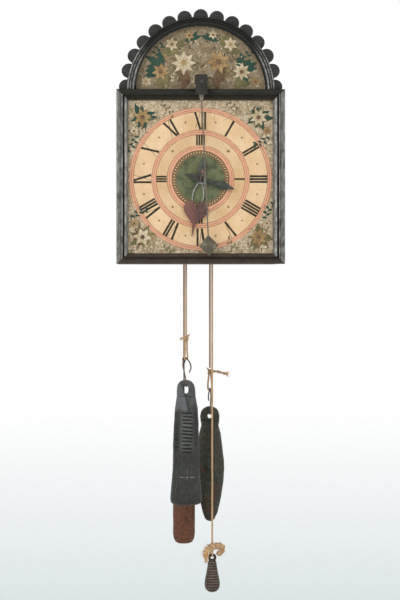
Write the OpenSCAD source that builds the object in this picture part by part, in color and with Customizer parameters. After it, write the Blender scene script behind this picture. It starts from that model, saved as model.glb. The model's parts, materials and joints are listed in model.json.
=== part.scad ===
// Wooden works clock with a front pendulum, striking the hours on a bell.
// X is to the viewer's right, +Y goes into the wall and +Z is up.
// The origin is the hole that the clock hangs by, in the plane of the wall.
// The modules draw from the dial's centre, and clock() lowers them to their place.

/* [Case] */
// Width over the moulded frame
frame_w = 270; // [250:1:300]
// Height over the moulded frame
frame_h = 280; // [275:1:300]
// Drop from the dial's centre to the foot of the frame
frame_drop = 136; // [134:1:140]
// Width of the left and right rails
side_w = 19; // [14:1:22]
// Width of the top rail
top_w = 18; // [14:1:20]
// Width of the bottom rail
bottom_w = 17; // [13:1:20]
// Thickness of the rails in front of the dial board
rail_t = 15; // [12:1:16]
// Thickness of the dial board
dial_t = 8; // [5:1:10]
// Thickness of the base, top and back boards
board_t = 10; // [8:1:12]
// Thickness of the three bars that carry the arbors
bar_t = 10; // [8:1:12]
// Width of a bar
bar_w = 42; // [38:1:50]
// Side of a corner post
post_w = 12; // [9:1:16]
// Step from the edge of the frame in to the side of the case
case_step = 9; // [4:1:14]
// Drop from the top of the frame to the top board's underside
top_under_drop = 28; // [27:1:30]
// Height of the hanging hole above the dial's centre
hang_h = 190; // [180:1:196]
// Radius of the hanging hole
hang_r = 4; // [3:0.5:6]
// Width of the back board
back_w = 150; // [120:1:170]
// Height of the back board above the hanging hole
back_over = 18; // [14:1:24]

/* [Arch] */
// Radius of the picture opening in the arch
arch_r = 104; // [100:1:106]
// Width of the half-ring moulding
arch_band = 15; // [10:1:16]
// Thickness of the scalloped board
arch_t = 8; // [6:1:9]
// Height of the moulding in front of the scalloped board
arch_mould_t = 6; // [4:1:8]
// Number of scallops
lobe_n = 15; // [11:1:15]
// Radius of a scallop
lobe_r = 11.6; // [10:0.2:12]
// How far the arch's centre lies below the top of the frame
arch_sink = 3; // [0:1:5]

/* [Spaces between boards] */
// Space for the count wheel, from back board to rear bar
count_gap = 16; // [15:1:20]
// Space for the strike train, from rear bar to middle bar
strike_gap = 42; // [42:1:48]
// Space for the going train, from middle bar to front bar
going_gap = 52; // [52:1:58]
// Space for the motion work, from front bar to dial board
motion_gap = 18; // [18:1:20]

/* [Going train] */
// Drop of the going train's great arbor below the dial's centre
great_drop = 40; // [38:0.5:41]
// Teeth of the great wheel
great_n = 72; // [72:12:72]
// Pitch radius of the great wheel
great_r = 57; // [56:0.5:57.5]
// Teeth of the contrate wheel
contrate_n = 72; // [72:12:72]
// Mean radius of the contrate wheel's teeth
contrate_r = 48; // [47:0.5:48.5]
// Staves of the lantern pinions
pinion_n = 6; // [6:1:6]
// Thickness of the great wheels
wheel_t = 6; // [4:0.5:6.5]
// Radius of a wooden arbor
arbor_r = 5; // [4:0.25:5.5]
// Radius of a pivot
pivot_r = 1.6; // [1.2:0.1:2]
// Running room round a pivot
pivot_gap = 0.1; // [0.05:0.01:0.15]
// Running room between pieces that turn side by side
run_gap = 0.4; // [0.3:0.05:0.6]

/* [Escapement and pendulum] */
// Drop from the top of the frame to the verge's axis
verge_drop = 1.5; // [1:0.5:2]
// Teeth of the crown wheel
crown_n = 25; // [25:2:25]
// Radius to the middle of the crown wheel's teeth
crown_r = 18; // [17:0.5:19]
// Length of a pallet from the verge's axis
pallet_l = 8; // [7.5:0.1:8.2]
// Angle of each pallet from straight down, at mid swing
pallet_angle = 48; // [47:1:50]
// Distance from the verge to the middle of the bob
pendulum_l = 249.5; // [240:0.5:256]
// Lean of the pendulum in the photograph, to the viewer's right
swing_now = 2.8; // [0:0.1:4]
// Width of the bob
bob_w = 30.4; // [24:0.2:36]
// Height of the bob
bob_h = 34; // [28:0.5:40]
// Thickness of the bob
bob_t = 8; // [5:0.5:9]
// Width of the cock in front of the verge
cock_w = 19; // [15:0.5:24]

/* [Motion work and hands] */
// Centre distance of the motion work
motion_c = 26; // [26:0.5:28]
// Reach of the hour hand
hour_tip = 93; // [80:1:96]
// Reach of the quarter hand
quarter_tip = 56; // [44:1:60]
// Thickness of the hands
hand_t = 1.6; // [1:0.1:2]
// Hour hand's angle from twelve, clockwise
hour_now = 188.8; // [0:0.1:360]
// Quarter hand's angle from twelve, clockwise
quarter_now = 106.4; // [0:0.1:360]

/* [Strike train] */
// Drop of the strike train's great arbor below the dial's centre
strike_drop = 14; // [12:0.5:16]
// Pitch radius of the strike train's great wheel
strike_r = 48; // [47:0.5:48.5]
// Pitch radius of the locking wheel
lock_r = 36; // [35.5:0.5:36.5]
// Pitch radius of the warning wheel
warn_r = 25.2; // [25:0.1:25.6]
// Number of lifting pins
lift_n = 8; // [8:4:8]
// Radius of the circle of lifting pins
lift_r = 42; // [38:0.5:43]
// Teeth of the count wheel
count_n = 78; // [78:12:78]
// Pitch radius of the count wheel
count_r = 48.75; // [48:0.25:49]
// Radius of the bell's mouth
bell_r = 42; // [36:1:44]
// Height of the bell
bell_h = 30; // [24:1:34]
// Wall of the bell
bell_wall = 2.5; // [2:0.25:3.5]

/* [Ropes and weights] */
// Radius from a pulley's axis to the middle of its rope
rope_r = 21; // [20.8:0.1:21.5]
// Diameter of the ropes
rope_d = 3.2; // [2.6:0.1:3.4]
// Teeth of a winding ratchet
ratchet_n = 12; // [12:4:12]
// Foot of the going train's heavy strand
going_end = 250; // [240:1:260]
// Foot of the strike train's heavy strand
strike_end = 304; // [294:1:310]
// Foot of the strike train's light strand
counter_end = 286; // [276:1:296]
// Foot of the going train's light strand
pear_end = 585; // [570:1:600]
// Top of the going weight
going_top = 322; // [316:1:330]
// Length of the going weight
going_l = 202; // [180:1:210]
// Largest radius of the going weight
going_r = 26; // [22:0.5:28]
// Top of the strike weight
strike_top = 365.5; // [360:0.5:372]
// Length of the strike weight
strike_l = 187; // [170:1:196]
// Largest radius of the strike weight
strike_wr = 23.3; // [20:0.1:23.4]
// Top of the strike counterweight
counter_top = 466; // [460:1:480]
// Length of the strike counterweight
counter_l = 122; // [100:1:130]
// Largest radius of the strike counterweight
counter_r = 17.8; // [15:0.1:17.8]
// Top of the pear counterweight
pear_top = 601; // [596:1:610]
// Length of the pear counterweight
pear_l = 63; // [56:1:70]
// Largest radius of the pear counterweight
pear_r = 12.6; // [10:0.1:14]
// Wire of the hooks
hook_d = 2.2; // [1.6:0.1:2.4]

/* [Hidden] */
$fn = 64;

frame_top = frame_h - frame_drop;
base_top = board_t - frame_drop;
case_half = frame_w / 2 - case_step;
arch_z = frame_top - arch_sink;
arch_out = arch_r + arch_band;
top_under = frame_top - top_under_drop;
verge_h = frame_top - verge_drop;

// Planes from the wall to the front, each the rear face of what it is named for
y_rear = -board_t - count_gap;
y_strike = y_rear - bar_t;
y_mid = y_strike - strike_gap;
y_going = y_mid - bar_t;
y_front = y_going - going_gap;
y_motion = y_front - bar_t;
y_dial = y_motion - motion_gap;
y_face = y_dial - dial_t;
y_rim = y_face - rail_t;

// Pulleys, which are the same in both trains
flange_r = rope_r + 4;
ratchet_r = rope_r + 5.5;
ratchet_h = 4.5;
ratchet_t = 4.5;
groove_w = 7;
flange_t = 2.5;
pulley_t = ratchet_t + groove_w + 2 * flange_t;
side_gap = 2;

// Clicks, each on a stud in the upper arm of its great wheel
click_pivot = ratchet_r + 7.5;
click_turn = 52.5;
click_t = 3;
click_rest = 0.65;

// Square seats of the wheels
eye = 6;
small_eye = 2.6;

// Going train, rear faces again
great_z = -great_drop;
y_great = y_going - 24;
y_contrate = y_going - 17;
contrate_t = 4.5;
contrate_tooth = 4;
contrate_w = 4;
shroud_t = 1.7;
pinion_r = great_r * pinion_n / great_n;
second_z = great_z + great_r + pinion_r;
crown_pin_r = contrate_r * pinion_n / contrate_n;
crown_y = y_contrate + contrate_tooth / 2 + crown_pin_r;
crown_pin_z = second_z + contrate_r;
step_top = crown_pin_z - 9;
y_gpulley = y_great - wheel_t - side_gap;
going_y = y_gpulley - ratchet_t - flange_t - groove_w / 2;
stem_r = 2;

// Escapement
top_top = top_under + board_t;
pallet_gap = 0.6;
crown_tip = verge_h - pallet_l * cos(pallet_angle - swing_now) - pallet_gap;
crown_disc = top_top + 1.2;
crown_t = 3;
crown_tooth_w = 2.6;
crown_phase = 0.29;

// Pendulum and cock
y_swing = y_rim - 4.5;
y_cock = y_swing - 6.5;
cock_t = 8;
cock_low = verge_h - 8.2;
cock_high = verge_h + 24.4;
wire_r = 1.1;

// Motion work
motion_t = 3;
y_drive = y_motion - 0.8;
y_mwheel = y_drive - motion_t - 1;
y_hwheel = y_mwheel - motion_t - 1.2;
drive_r = great_drop / 2;
drive_n = 30;
lift_pin_r = 14;
mwheel_r = motion_c * 0.75;
mpinion_r = motion_c * 0.25;
hpinion_r = motion_c * 0.2;
hwheel_r = motion_c * 0.8;
pipe_r = 4.6;
front_r = 2.6;
y_hour = y_face - 2.4;
y_quarter = y_hour - hand_t - 2;
y_pin = y_quarter - hand_t - 1.2;

// Strike train
strike_z = -strike_drop;
y_swheel = y_mid + 3 + wheel_t;
y_spulley = y_swheel + side_gap;
strike_y = y_spulley + ratchet_t + flange_t + groove_w / 2;
lock_pin_r = strike_r * 6 / 48;
lock_x = 16;
lock_z = strike_z + sqrt(pow(strike_r + lock_pin_r, 2) - lock_x * lock_x);
warn_pin_r = lock_r * 6 / 48;
warn_x = -4;
warn_z = lock_z + sqrt(pow(lock_r + warn_pin_r, 2) - pow(warn_x - lock_x, 2));
fly_pin_r = warn_r * 6 / 42;
fly_x = 10;
fly_z = warn_z + sqrt(pow(warn_r + fly_pin_r, 2) - pow(fly_x - warn_x, 2));
small_t = 4;
y_lock = y_strike - 7.5;
y_warn = y_strike - 16;
y_vane = y_strike - 24;
vane_w = 15;
vane_r = 16;
vane_t = 1.4;
stop_r = 30;
count_pin_n = 8;
count_pin_r = count_r * count_pin_n / count_n;
count_z = strike_z - count_r - count_pin_r;
count_t = 4;
hoop_h = 4;
hoop_r = count_r - 4.5;
slot_deep = 6.5;
hoop_in = hoop_r - slot_deep - 3;
y_count = -board_t - 2 - hoop_h;

// Levers
ear_z = 12;
ear_h = 36;
ear_w = 90;
detent_x = 58;
detent_z = 20;
lift_x = 80;
lift_z = 6;
hammer_x = -72;
hammer_z = 10;
lever_r = 3;
lever_t = 3;

// Bell and hammer
bell_y = strike_y;
bell_z = top_top + 42;
stand_r = 4;
head_z = bell_z + 5;
head_r = 6;
head_x = -(bell_r + 2.6);

// What repeats

// Moves what is drawn from the dial's centre to the part's own frame
module clock() {
    translate([0, 0, -hang_h]) children();
}

// A flat piece drawn as seen from the front, from its rear face y forward by t
module slab(y, t) {
    translate([0, y, 0]) rotate([90, 0, 0]) linear_extrude(t) children();
}

// A flat piece drawn in depth and height, from x to the right by w
module side_slab(x, w) {
    translate([x, 0, 0]) rotate([90, 0, 90]) linear_extrude(w) children();
}

// A round rod along the depth, from y forward by t
module rod(x, z, y, t, r) {
    translate([x, y, z]) rotate([90, 0, 0]) cylinder(r = r, h = t);
}

// A flat-sided disc or rod outline
module ngon(n, r, turn = 0) {
    polygon([for (i = [0 : n - 1]) [r * cos(turn + 360 * i / n), r * sin(turn + 360 * i / n)]]);
}

// Toothed outline: pitch radius r, tooth height up and down from it, first tooth at turn
module toothed(n, r, up, down, turn = 0, root = 0.31, tip = 0.1) {
    step = 360 / n;
    polygon([for (i = [0 : n - 1])
        for (k = [[-root, -down], [-tip, up], [tip, up], [root, -down]])
            let (a = turn + step * (i + k[0]), q = r + k[1]) [q * cos(a), q * sin(a)]]);
}

// Four crossings that lighten a wheel, cut between two radii
module crossings(inner, outer, arm) {
    for (q = [0 : 3]) rotate(90 * q) {
        a0 = asin(arm / 2 / inner);
        a1 = asin(arm / 2 / outer);
        polygon(concat(
            [for (i = [0 : 6]) let (a = a0 + (90 - 2 * a0) * i / 6) inner * [cos(a), sin(a)]],
            [for (i = [0 : 10]) let (a = 90 - a1 - (90 - 2 * a1) * i / 10) outer * [cos(a), sin(a)]]));
    }
}

// Wooden wheel with crossings and a square eye for its arbor
module wood_wheel(n, r, m, hub, arm, turn) {
    difference() {
        toothed(n, r, m, m * 1.25, turn);
        crossings(hub, r - m * 1.25 - 6, arm);
        square(eye, center = true);
    }
}

// Lantern pinion drawn upwards: two shrouds, the staves between them and a thin core
module lantern(t, n, r, stave, turn, core = pivot_r) {
    for (e = [0, t - shroud_t]) translate([0, 0, e]) linear_extrude(shroud_t) ngon(24, r + stave / 2 + 0.6);
    for (i = [0 : n - 1]) rotate(turn + 360 * i / n) translate([r, 0, 0]) linear_extrude(t) ngon(8, stave / 2, 22.5);
    linear_extrude(t) ngon(12, core, 15);
}

// An axis along the depth at x and z: what is drawn upwards runs forward from y
module on_axis(x, z, y) {
    translate([x, y, z]) rotate([90, 0, 0]) children();
}

// Rope pulley with its ratchet, drawn up from the ratchet's face
module pulley() {
    linear_extrude(ratchet_t) difference() {
        polygon([for (i = [0 : ratchet_n - 1]) for (k = [0, 1])
            let (a = 180 / ratchet_n + 360 * (i + k * 0.12) / ratchet_n, q = ratchet_r - ratchet_h * k)
                [q * cos(a), q * sin(a)]]);
        circle(arbor_r + run_gap);
    }
    translate([0, 0, ratchet_t]) rotate_extrude() difference() {
        translate([arbor_r + run_gap, 0]) square([flange_r - arbor_r - run_gap, pulley_t - ratchet_t]);
        translate([rope_r - rope_d / 2 - 0.3, flange_t]) polygon([[0, groove_w / 2 - 1.7],
            [0, groove_w / 2 + 1.7], [8, groove_w + 0.9], [8, -0.9]]);
    }
}

// Click that lies on a ratchet, drawn about its stud; its nose points down and to the right
module click() {
    nose = (ratchet_r + click_rest) * [cos(click_turn), sin(click_turn)] - [0, click_pivot];
    along = nose / norm(nose);
    over = [-along[1], along[0]];
    linear_extrude(click_t) difference() {
        union() {
            circle(3.3);
            polygon([2.6 * over, -1.4 * over, nose - 0.5 * over - 0.4 * along, nose + [0.1, 0.2],
                nose + 2.6 * over - 3 * along]);
        }
        circle(pivot_r + pivot_gap);
    }
}

// A bent wire or cord, swept along points with flat sides
function unit(v) = v / norm(v);
function heading(p, i) = unit(p[min(i + 1, len(p) - 1)] - p[max(i - 1, 0)]);
function side_of(t, s) = let (c = s - t * (s * t)) unit(c);
function sides(p, i, s) = i >= len(p) ? [] :
    let (n = side_of(heading(p, i), s)) concat([n], sides(p, i + 1, n));
module swept(p, r, n = 8, first = [0, 1, 0.01]) {
    s = sides(p, 0, first);
    polyhedron(
        points = [for (i = [0 : len(p) - 1]) let (b = cross(heading(p, i), s[i]))
            for (k = [0 : n - 1]) p[i] + r * (cos(360 * k / n) * s[i] + sin(360 * k / n) * b)],
        faces = concat(
            [[for (k = [0 : n - 1]) k]],
            [for (i = [0 : len(p) - 2]) for (k = [0 : n - 1]) let (a = i * n + k, b = i * n + (k + 1) % n)
                each [[a, a + n, b], [b, a + n, b + n]]],
            [[for (k = [0 : n - 1]) len(p) * n - 1 - k]]));
}

// Points round part of a circle in the plane of width and height
function bend(x, z, r, from, to, n) = [for (i = [0 : n])
    let (a = from + (to - from) * i / n) [x + r * cos(a), 0, z + r * sin(a)]];

// Case

function rail_profile(w) = [[0, 0], [0, rail_t - 2], [w * 0.03, rail_t - 0.8], [w * 0.1, rail_t - 0.3],
    [w * 0.3, rail_t], [w * 0.36, rail_t - 0.4], [w * 0.38, rail_t - 2.2], [w * 0.41, rail_t - 0.9],
    [w * 0.45, rail_t - 0.7], [w * 0.49, rail_t - 0.9], [w * 0.52, rail_t - 2.6],
    [w * 0.53, rail_t - 5], [w * 0.64, rail_t - 5.2], [w * 0.66, rail_t - 3.2],
    [w * 0.74, rail_t - 3.9], [w * 0.83, rail_t - 5.6], [w * 0.92, rail_t - 8.3], [w, rail_t - 12], [w, 0]];

// One rail: the profile runs along the outer edge and is cut on the mitres
module rail(side) {
    x = frame_w / 2;
    xi = x - side_w;
    zi = -frame_drop + bottom_w;
    zt = frame_top - top_w;
    long = frame_w + frame_h;
    if (side == "left" || side == "right") {
        s = side == "left" ? -1 : 1;
        intersection() {
            slab(y_face, rail_t + 1) polygon([[s * x, -frame_drop], [s * xi, zi], [s * xi, zt], [s * x, frame_top]]);
            translate([s * x, y_face, -long / 2]) mirror([s > 0 ? 1 : 0, 0, 0])
                linear_extrude(long) polygon([for (p = rail_profile(side_w)) [p[0], -p[1]]]);
        }
    } else {
        s = side == "top" ? 1 : -1;
        w = side == "top" ? top_w : bottom_w;
        edge = side == "top" ? frame_top : -frame_drop;
        inner = side == "top" ? zt : zi;
        intersection() {
            slab(y_face, rail_t + 1) polygon([[-x, edge], [x, edge], [xi, inner], [-xi, inner]]);
            side_slab(-long / 2, long) polygon([for (p = rail_profile(w)) [y_face - p[1], edge - s * p[0]]]);
        }
    }
}
module frame_side_rails() {
    color("#2e2620") clock() for (s = ["left", "right"]) rail(s);
}
module frame_top_rail() {
    color("#23241f") clock() difference() {
        rail("top");
        rod(0, verge_h, y_face + 1, rail_t + 3, stem_r + 3);
    }
}
module frame_bottom_rail() {
    color("#2b2620") clock() rail("bottom");
}

module half_plane(z) {
    translate([-frame_w, z]) square([2 * frame_w, frame_w]);
}

module dial_board() {
    color("#d8bd92") clock() difference() {
        slab(y_dial, dial_t) difference() {
            union() {
                translate([-case_half, -frame_drop]) square([2 * case_half, frame_h]);
                intersection() {
                    translate([0, arch_z]) circle(arch_out - 3);
                    half_plane(frame_top - 1);
                }
            }
            circle(pipe_r + 1.4);
            translate([0, verge_h]) circle(stem_r + 3);
        }
    }
}

module arch_board() {
    color("#2c2b26") clock() slab(y_face, arch_t) intersection() {
        difference() {
            translate([0, arch_z]) union() {
                circle(arch_out);
                for (i = [0 : lobe_n - 1]) rotate(90 + (i - (lobe_n - 1) / 2) * 12.4)
                    translate([arch_out + 0.5, 0]) circle(lobe_r);
            }
            translate([0, arch_z]) circle(arch_r);
        }
        half_plane(frame_top);
    }
}

module arch_moulding() {
    color("#3a3a33") clock() intersection() {
        translate([0, y_face - arch_t, arch_z]) rotate([90, 0, 0]) rotate_extrude() polygon([
            [arch_r, 0], [arch_r, arch_mould_t * 0.3], [arch_r + arch_band * 0.22, arch_mould_t * 0.62],
            [arch_r + arch_band * 0.27, arch_mould_t * 0.92], [arch_r + arch_band * 0.36, arch_mould_t],
            [arch_r + arch_band * 0.45, arch_mould_t * 0.9], [arch_r + arch_band * 0.5, arch_mould_t * 0.45],
            [arch_r + arch_band * 0.68, arch_mould_t * 0.4], [arch_r + arch_band * 0.74, arch_mould_t * 0.72],
            [arch_r + arch_band * 0.84, arch_mould_t * 0.74], [arch_out - 0.6, arch_mould_t * 0.35],
            [arch_out - 0.6, 0]]);
        slab(y_face, rail_t + arch_t) half_plane(frame_top);
    }
}

module back_board() {
    color("#5c4731") clock() slab(0, board_t) difference() {
        union() {
            translate([-back_w / 2, -frame_drop]) square([back_w, frame_drop + hang_h - 22]);
            translate([-back_w / 2 + 22, hang_h - 22]) square([back_w - 44, 22 + back_over]);
            for (s = [-1, 1]) translate([s * (back_w / 2 - 22), hang_h - 22]) circle(22);
        }
        translate([0, hang_h]) circle(hang_r);
    }
}

rope_slot_l = 2 * rope_r + 24;
rope_slot_w = 14;
module rope_slot(y) {
    translate([0, y, base_top - board_t / 2]) cube([rope_slot_l, rope_slot_w, board_t + 2], center = true);
}
module base_board() {
    color("#6a5236") clock() difference() {
        translate([-case_half, y_dial, -frame_drop]) cube([2 * case_half, -y_dial - board_t, board_t]);
        rope_slot(going_y);
        rope_slot(strike_y);
    }
}

module top_board() {
    color("#6a5236") clock() difference() {
        translate([-case_half, y_dial, top_under]) cube([2 * case_half, -y_dial - board_t, board_t]);
        translate([0, crown_y, top_under - 1]) cylinder(r = stem_r + pivot_gap, h = board_t + 2);
        translate([hammer_x - 14, bell_y - 8, top_under - 1]) cube([40, 16, board_t + 2]);
    }
}

module corner_posts() {
    color("#5c4731") clock() for (s = [-1, 1]) for (y = [y_dial, y_strike])
        translate([s * (case_half - post_w / 2) - post_w / 2, y, base_top])
            cube([post_w, post_w, top_under - base_top]);
}

// Bar outline with the holes that its arbors run in
module bar_shape(holes) {
    difference() {
        union() {
            translate([-bar_w / 2, base_top]) square([bar_w, top_under - base_top]);
            translate([-ear_w, ear_z - ear_h / 2]) square([2 * ear_w, ear_h]);
        }
        for (h = holes) translate([h[0], h[1]]) circle(h[2] + pivot_gap);
    }
}
module front_bar() {
    color("#6f5738") clock() {
        slab(y_front, bar_t) bar_shape([[0, 0, front_r], [0, great_z, front_r], [0, second_z, pivot_r],
            [lift_x, lift_z, lever_r]]);
        rod(-motion_c, 0, y_motion + 1, y_motion - y_hwheel + motion_t + 2, pivot_r);
    }
}
module middle_bar() {
    color("#6f5738") clock() slab(y_mid, bar_t)
        bar_shape([[0, great_z, pivot_r], [0, second_z, pivot_r], [0, strike_z, pivot_r],
            [lock_x, lock_z, pivot_r], [warn_x, warn_z, pivot_r], [fly_x, fly_z, pivot_r],
            [lift_x, lift_z, lever_r], [detent_x, detent_z, pivot_r], [hammer_x, hammer_z, pivot_r]]);
}
module rear_bar() {
    color("#6f5738") clock() {
        slab(y_rear, bar_t) bar_shape([[0, strike_z, front_r], [lock_x, lock_z, pivot_r],
            [warn_x, warn_z, pivot_r], [fly_x, fly_z, pivot_r], [detent_x, detent_z, lever_r],
            [hammer_x, hammer_z, pivot_r]]);
        rod(0, count_z, y_count + hoop_h + 1, y_count + hoop_h - y_rear + 2, pivot_r);
    }
}

module step_block() {
    color("#7a5f3e") clock() difference() {
        translate([-7, crown_y - 5, step_top - 9]) cube([14, y_going - crown_y + 5, 9]);
        translate([0, crown_y, step_top - 5]) cylinder(r = pivot_r + pivot_gap, h = 6);
    }
}

// Front cock: a foot on the arch and a plate that hangs in front of the pendulum
module verge_cock() {
    color("#3f3a33") clock() difference() {
        side_slab(-cock_w / 2, cock_w) polygon([[y_face, cock_high - 1.5], [y_face, frame_top + 8],
            [y_rim - 1, frame_top + 8], [y_cock, frame_top + 6], [y_cock, cock_low], [y_cock - cock_t, cock_low],
            [y_cock - cock_t, cock_high - 4], [y_cock - cock_t + 4, cock_high]]);
        rod(0, verge_h, y_cock + 1, cock_t + 2, pivot_r + pivot_gap);
    }
}

module verge_rear_cock() {
    color("#7a5f3e") clock() difference() {
        slab(crown_y + 32, 7) polygon([[-11, top_top], [11, top_top], [7, top_top + 8], [6, verge_h + 7],
            [3, verge_h + 9], [-3, verge_h + 9], [-6, verge_h + 7], [-7, top_top + 8]]);
        rod(0, verge_h, crown_y + 33, 9, pivot_r + pivot_gap);
    }
}

module bell_stand() {
    color("#6b6f70") clock() translate([0, bell_y, top_top]) {
        cylinder(r = stand_r + 3, h = 3);
        cylinder(r = stand_r, h = bell_z + bell_h - bell_wall - top_top - 1.5);
        cylinder(r = 2.2, h = bell_z + bell_h - top_top + 8);
        translate([0, 0, bell_z + bell_h - top_top + 2]) linear_extrude(4) ngon(6, 5);
    }
}
module bell() {
    color("#9a8247") clock() translate([0, bell_y, bell_z]) rotate_extrude() polygon([
        [bell_r, 0], [bell_r - 1.2, bell_h * 0.14], [bell_r - 5, bell_h * 0.46], [bell_r - 13, bell_h * 0.8],
        [bell_r - 24, bell_h * 0.97], [stand_r + 2, bell_h + 1.5], [2.3, bell_h + 1.5],
        [2.3, bell_h - bell_wall + 0.5], [stand_r + 2, bell_h - bell_wall + 0.5],
        [bell_r - 24.6, bell_h * 0.97 - bell_wall], [bell_r - 14.8, bell_h * 0.8 - bell_wall],
        [bell_r - 7.4, bell_h * 0.46 - 1], [bell_r - 1.2 - bell_wall, bell_h * 0.14],
        [bell_r - bell_wall, 0]]);
}

// Round, flat-sided and square stretches of an arbor, from y0 forward to y1
module round_bar(x, z, y0, y1, r) {
    rod(x, z, y0, y0 - y1, r);
}
module flat_bar(x, z, y0, y1, r) {
    translate([x, 0, z]) slab(y0, y0 - y1) ngon(12, r, 15);
}
module seat_bar(x, z, y0, y1) {
    translate([x, 0, z]) slab(y0, y0 - y1) square(eye, center = true);
}

// Pivots at both ends of a strike train arbor, in the rear bar and the middle bar
module strike_pivots(x, z) {
    round_bar(x, z, y_strike + bar_t - 2, y_strike - 1, pivot_r);
    round_bar(x, z, y_mid + 1, y_mid - bar_t + 2, pivot_r);
}

// Going train

great_pin_y = y_great + 2.4;
great_pin_t = wheel_t + 5.4;
great_stave = 1.7;
module great_arbor() {
    color("#8a6b43") clock() {
        round_bar(0, great_z, y_going + bar_t - 2, y_going - 1, pivot_r);
        flat_bar(0, great_z, y_going - 0.5, y_great, arbor_r);
        seat_bar(0, great_z, y_great, y_great - wheel_t);
        round_bar(0, great_z, y_great - wheel_t, y_front + 0.5, arbor_r);
        round_bar(0, great_z, y_front + 1, y_drive - motion_t - 1, front_r);
        translate([0, 0, great_z]) slab(y_drive, motion_t) toothed(drive_n, drive_r, 1.1, 1.4, 90);
        translate([0, 0, great_z]) rotate([0, -150, 0]) translate([lift_pin_r, 0, 0])
            slab(y_drive - motion_t + 1, 4.2) ngon(8, 1.3);
    }
}
module great_wheel() {
    color("#9c7a4c") clock() {
        translate([0, 0, great_z]) slab(y_great, wheel_t)
            wood_wheel(great_n, great_r, 1.5, 14, 9, 90 + 180 / great_n);
        rod(0, great_z + click_pivot, y_great - wheel_t, side_gap + ratchet_t, pivot_r);
    }
}
module going_pulley() {
    color("#8f6f45") clock() on_axis(0, great_z, y_gpulley) pulley();
}
module going_click() {
    color("#54524d") clock() on_axis(0, great_z + click_pivot, y_gpulley - 0.7) click();
}
module second_arbor() {
    color("#8a6b43") clock() {
        round_bar(0, second_z, y_going + bar_t - 2, y_going - 1, pivot_r);
        flat_bar(0, second_z, y_going - 0.5, y_contrate, arbor_r);
        seat_bar(0, second_z, y_contrate, great_pin_y);
        on_axis(0, second_z, great_pin_y) lantern(great_pin_t, pinion_n, pinion_r, great_stave, 270);
        flat_bar(0, second_z, great_pin_y - great_pin_t, y_front + 0.5, 3.4);
        round_bar(0, second_z, y_front + 1, y_front - bar_t + 2, pivot_r);
    }
}
module contrate_wheel() {
    step = 360 / contrate_n;
    inner = contrate_r - contrate_w / 2;
    outer = contrate_r + contrate_w / 2;
    color("#9c7a4c") clock() translate([0, 0, second_z]) {
        slab(y_contrate, contrate_t) difference() {
            ngon(72, outer + 0.6);
            crossings(12, inner - 5, 8);
            square(eye, center = true);
        }
        slab(y_contrate + contrate_tooth - run_gap, contrate_tooth - run_gap) for (i = [0 : contrate_n - 1])
            rotate(90 + step * (i + 0.5)) polygon([[inner, -0.65], [outer, -0.65], [outer, 0.65], [inner, 0.65]]);
    }
}
module crown_arbor() {
    pin_t = 10.4;
    color("#7d7a72") clock() translate([0, crown_y, 0]) {
        translate([0, 0, step_top - 4.6]) cylinder(r = pivot_r, h = 5 + crown_pin_z - pin_t / 2 - step_top);
        translate([0, 0, crown_pin_z - pin_t / 2]) lantern(pin_t, pinion_n, crown_pin_r, 1.5, 270);
        translate([0, 0, crown_pin_z + pin_t / 2])
            cylinder(r = stem_r, h = crown_disc - crown_pin_z - pin_t / 2);
        translate([0, 0, crown_disc]) linear_extrude(crown_t) square(small_eye, center = true);
        translate([0, 0, crown_disc + crown_t]) linear_extrude(1.6) ngon(8, 2.6);
    }
}
module crown_wheel() {
    step = 360 / crown_n;
    tooth_h = crown_tip - crown_disc - crown_t;
    color("#8d7f5a") clock() translate([0, crown_y, crown_disc]) {
        linear_extrude(crown_t) difference() {
            ngon(50, crown_r + crown_tooth_w / 2 + 0.2);
            crossings(6, crown_r - 4, 5);
            square(small_eye, center = true);
        }
        for (i = [0 : crown_n - 1]) rotate(270 + step * (i + crown_phase))
            translate([crown_r - crown_tooth_w / 2, 0, crown_t]) rotate([90, 0, 90])
                linear_extrude(crown_tooth_w)
                    polygon([[-1.9, -1], [1.2, -1], [1.2, 0], [0.25, tooth_h], [-0.25, tooth_h], [-1.9, 0]]);
    }
}

// Verge, drawn upright about its own axis and then leaned as the pendulum hangs
module leaning() {
    translate([0, 0, verge_h]) rotate([0, -swing_now, 0]) children();
}
module pallet(y, angle) {
    rotate([0, -angle, 0]) translate([-pallet_w / 2, y - pallet_len / 2, -pallet_l])
        cube([pallet_w, pallet_len, pallet_l]);
}
pallet_w = 0.8;
pallet_len = 5;
module verge() {
    color("#6f6d68") clock() leaning() {
        round_bar(0, 0, crown_y + 32.5, crown_y + 24, pivot_r);
        round_bar(0, 0, crown_y + 24.6, y_cock + 0.4, stem_r);
        round_bar(0, 0, y_cock + 1, y_cock - cock_t + 0.6, pivot_r);
        pallet(crown_y - crown_r, pallet_angle);
        pallet(crown_y + crown_r, -pallet_angle);
    }
}
module pendulum_rod() {
    color("#4a4640") clock() leaning() {
        slab(y_swing + 1.5, 3) difference() {
            polygon([[-3, 5], [3, 5], [4, 3], [4, -9], [wire_r, -20], [-wire_r, -20], [-4, -9], [-4, 3]]);
            circle(stem_r);
        }
        translate([0, y_swing, -pendulum_l]) cylinder(r = wire_r, h = pendulum_l - 16);
    }
}
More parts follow.
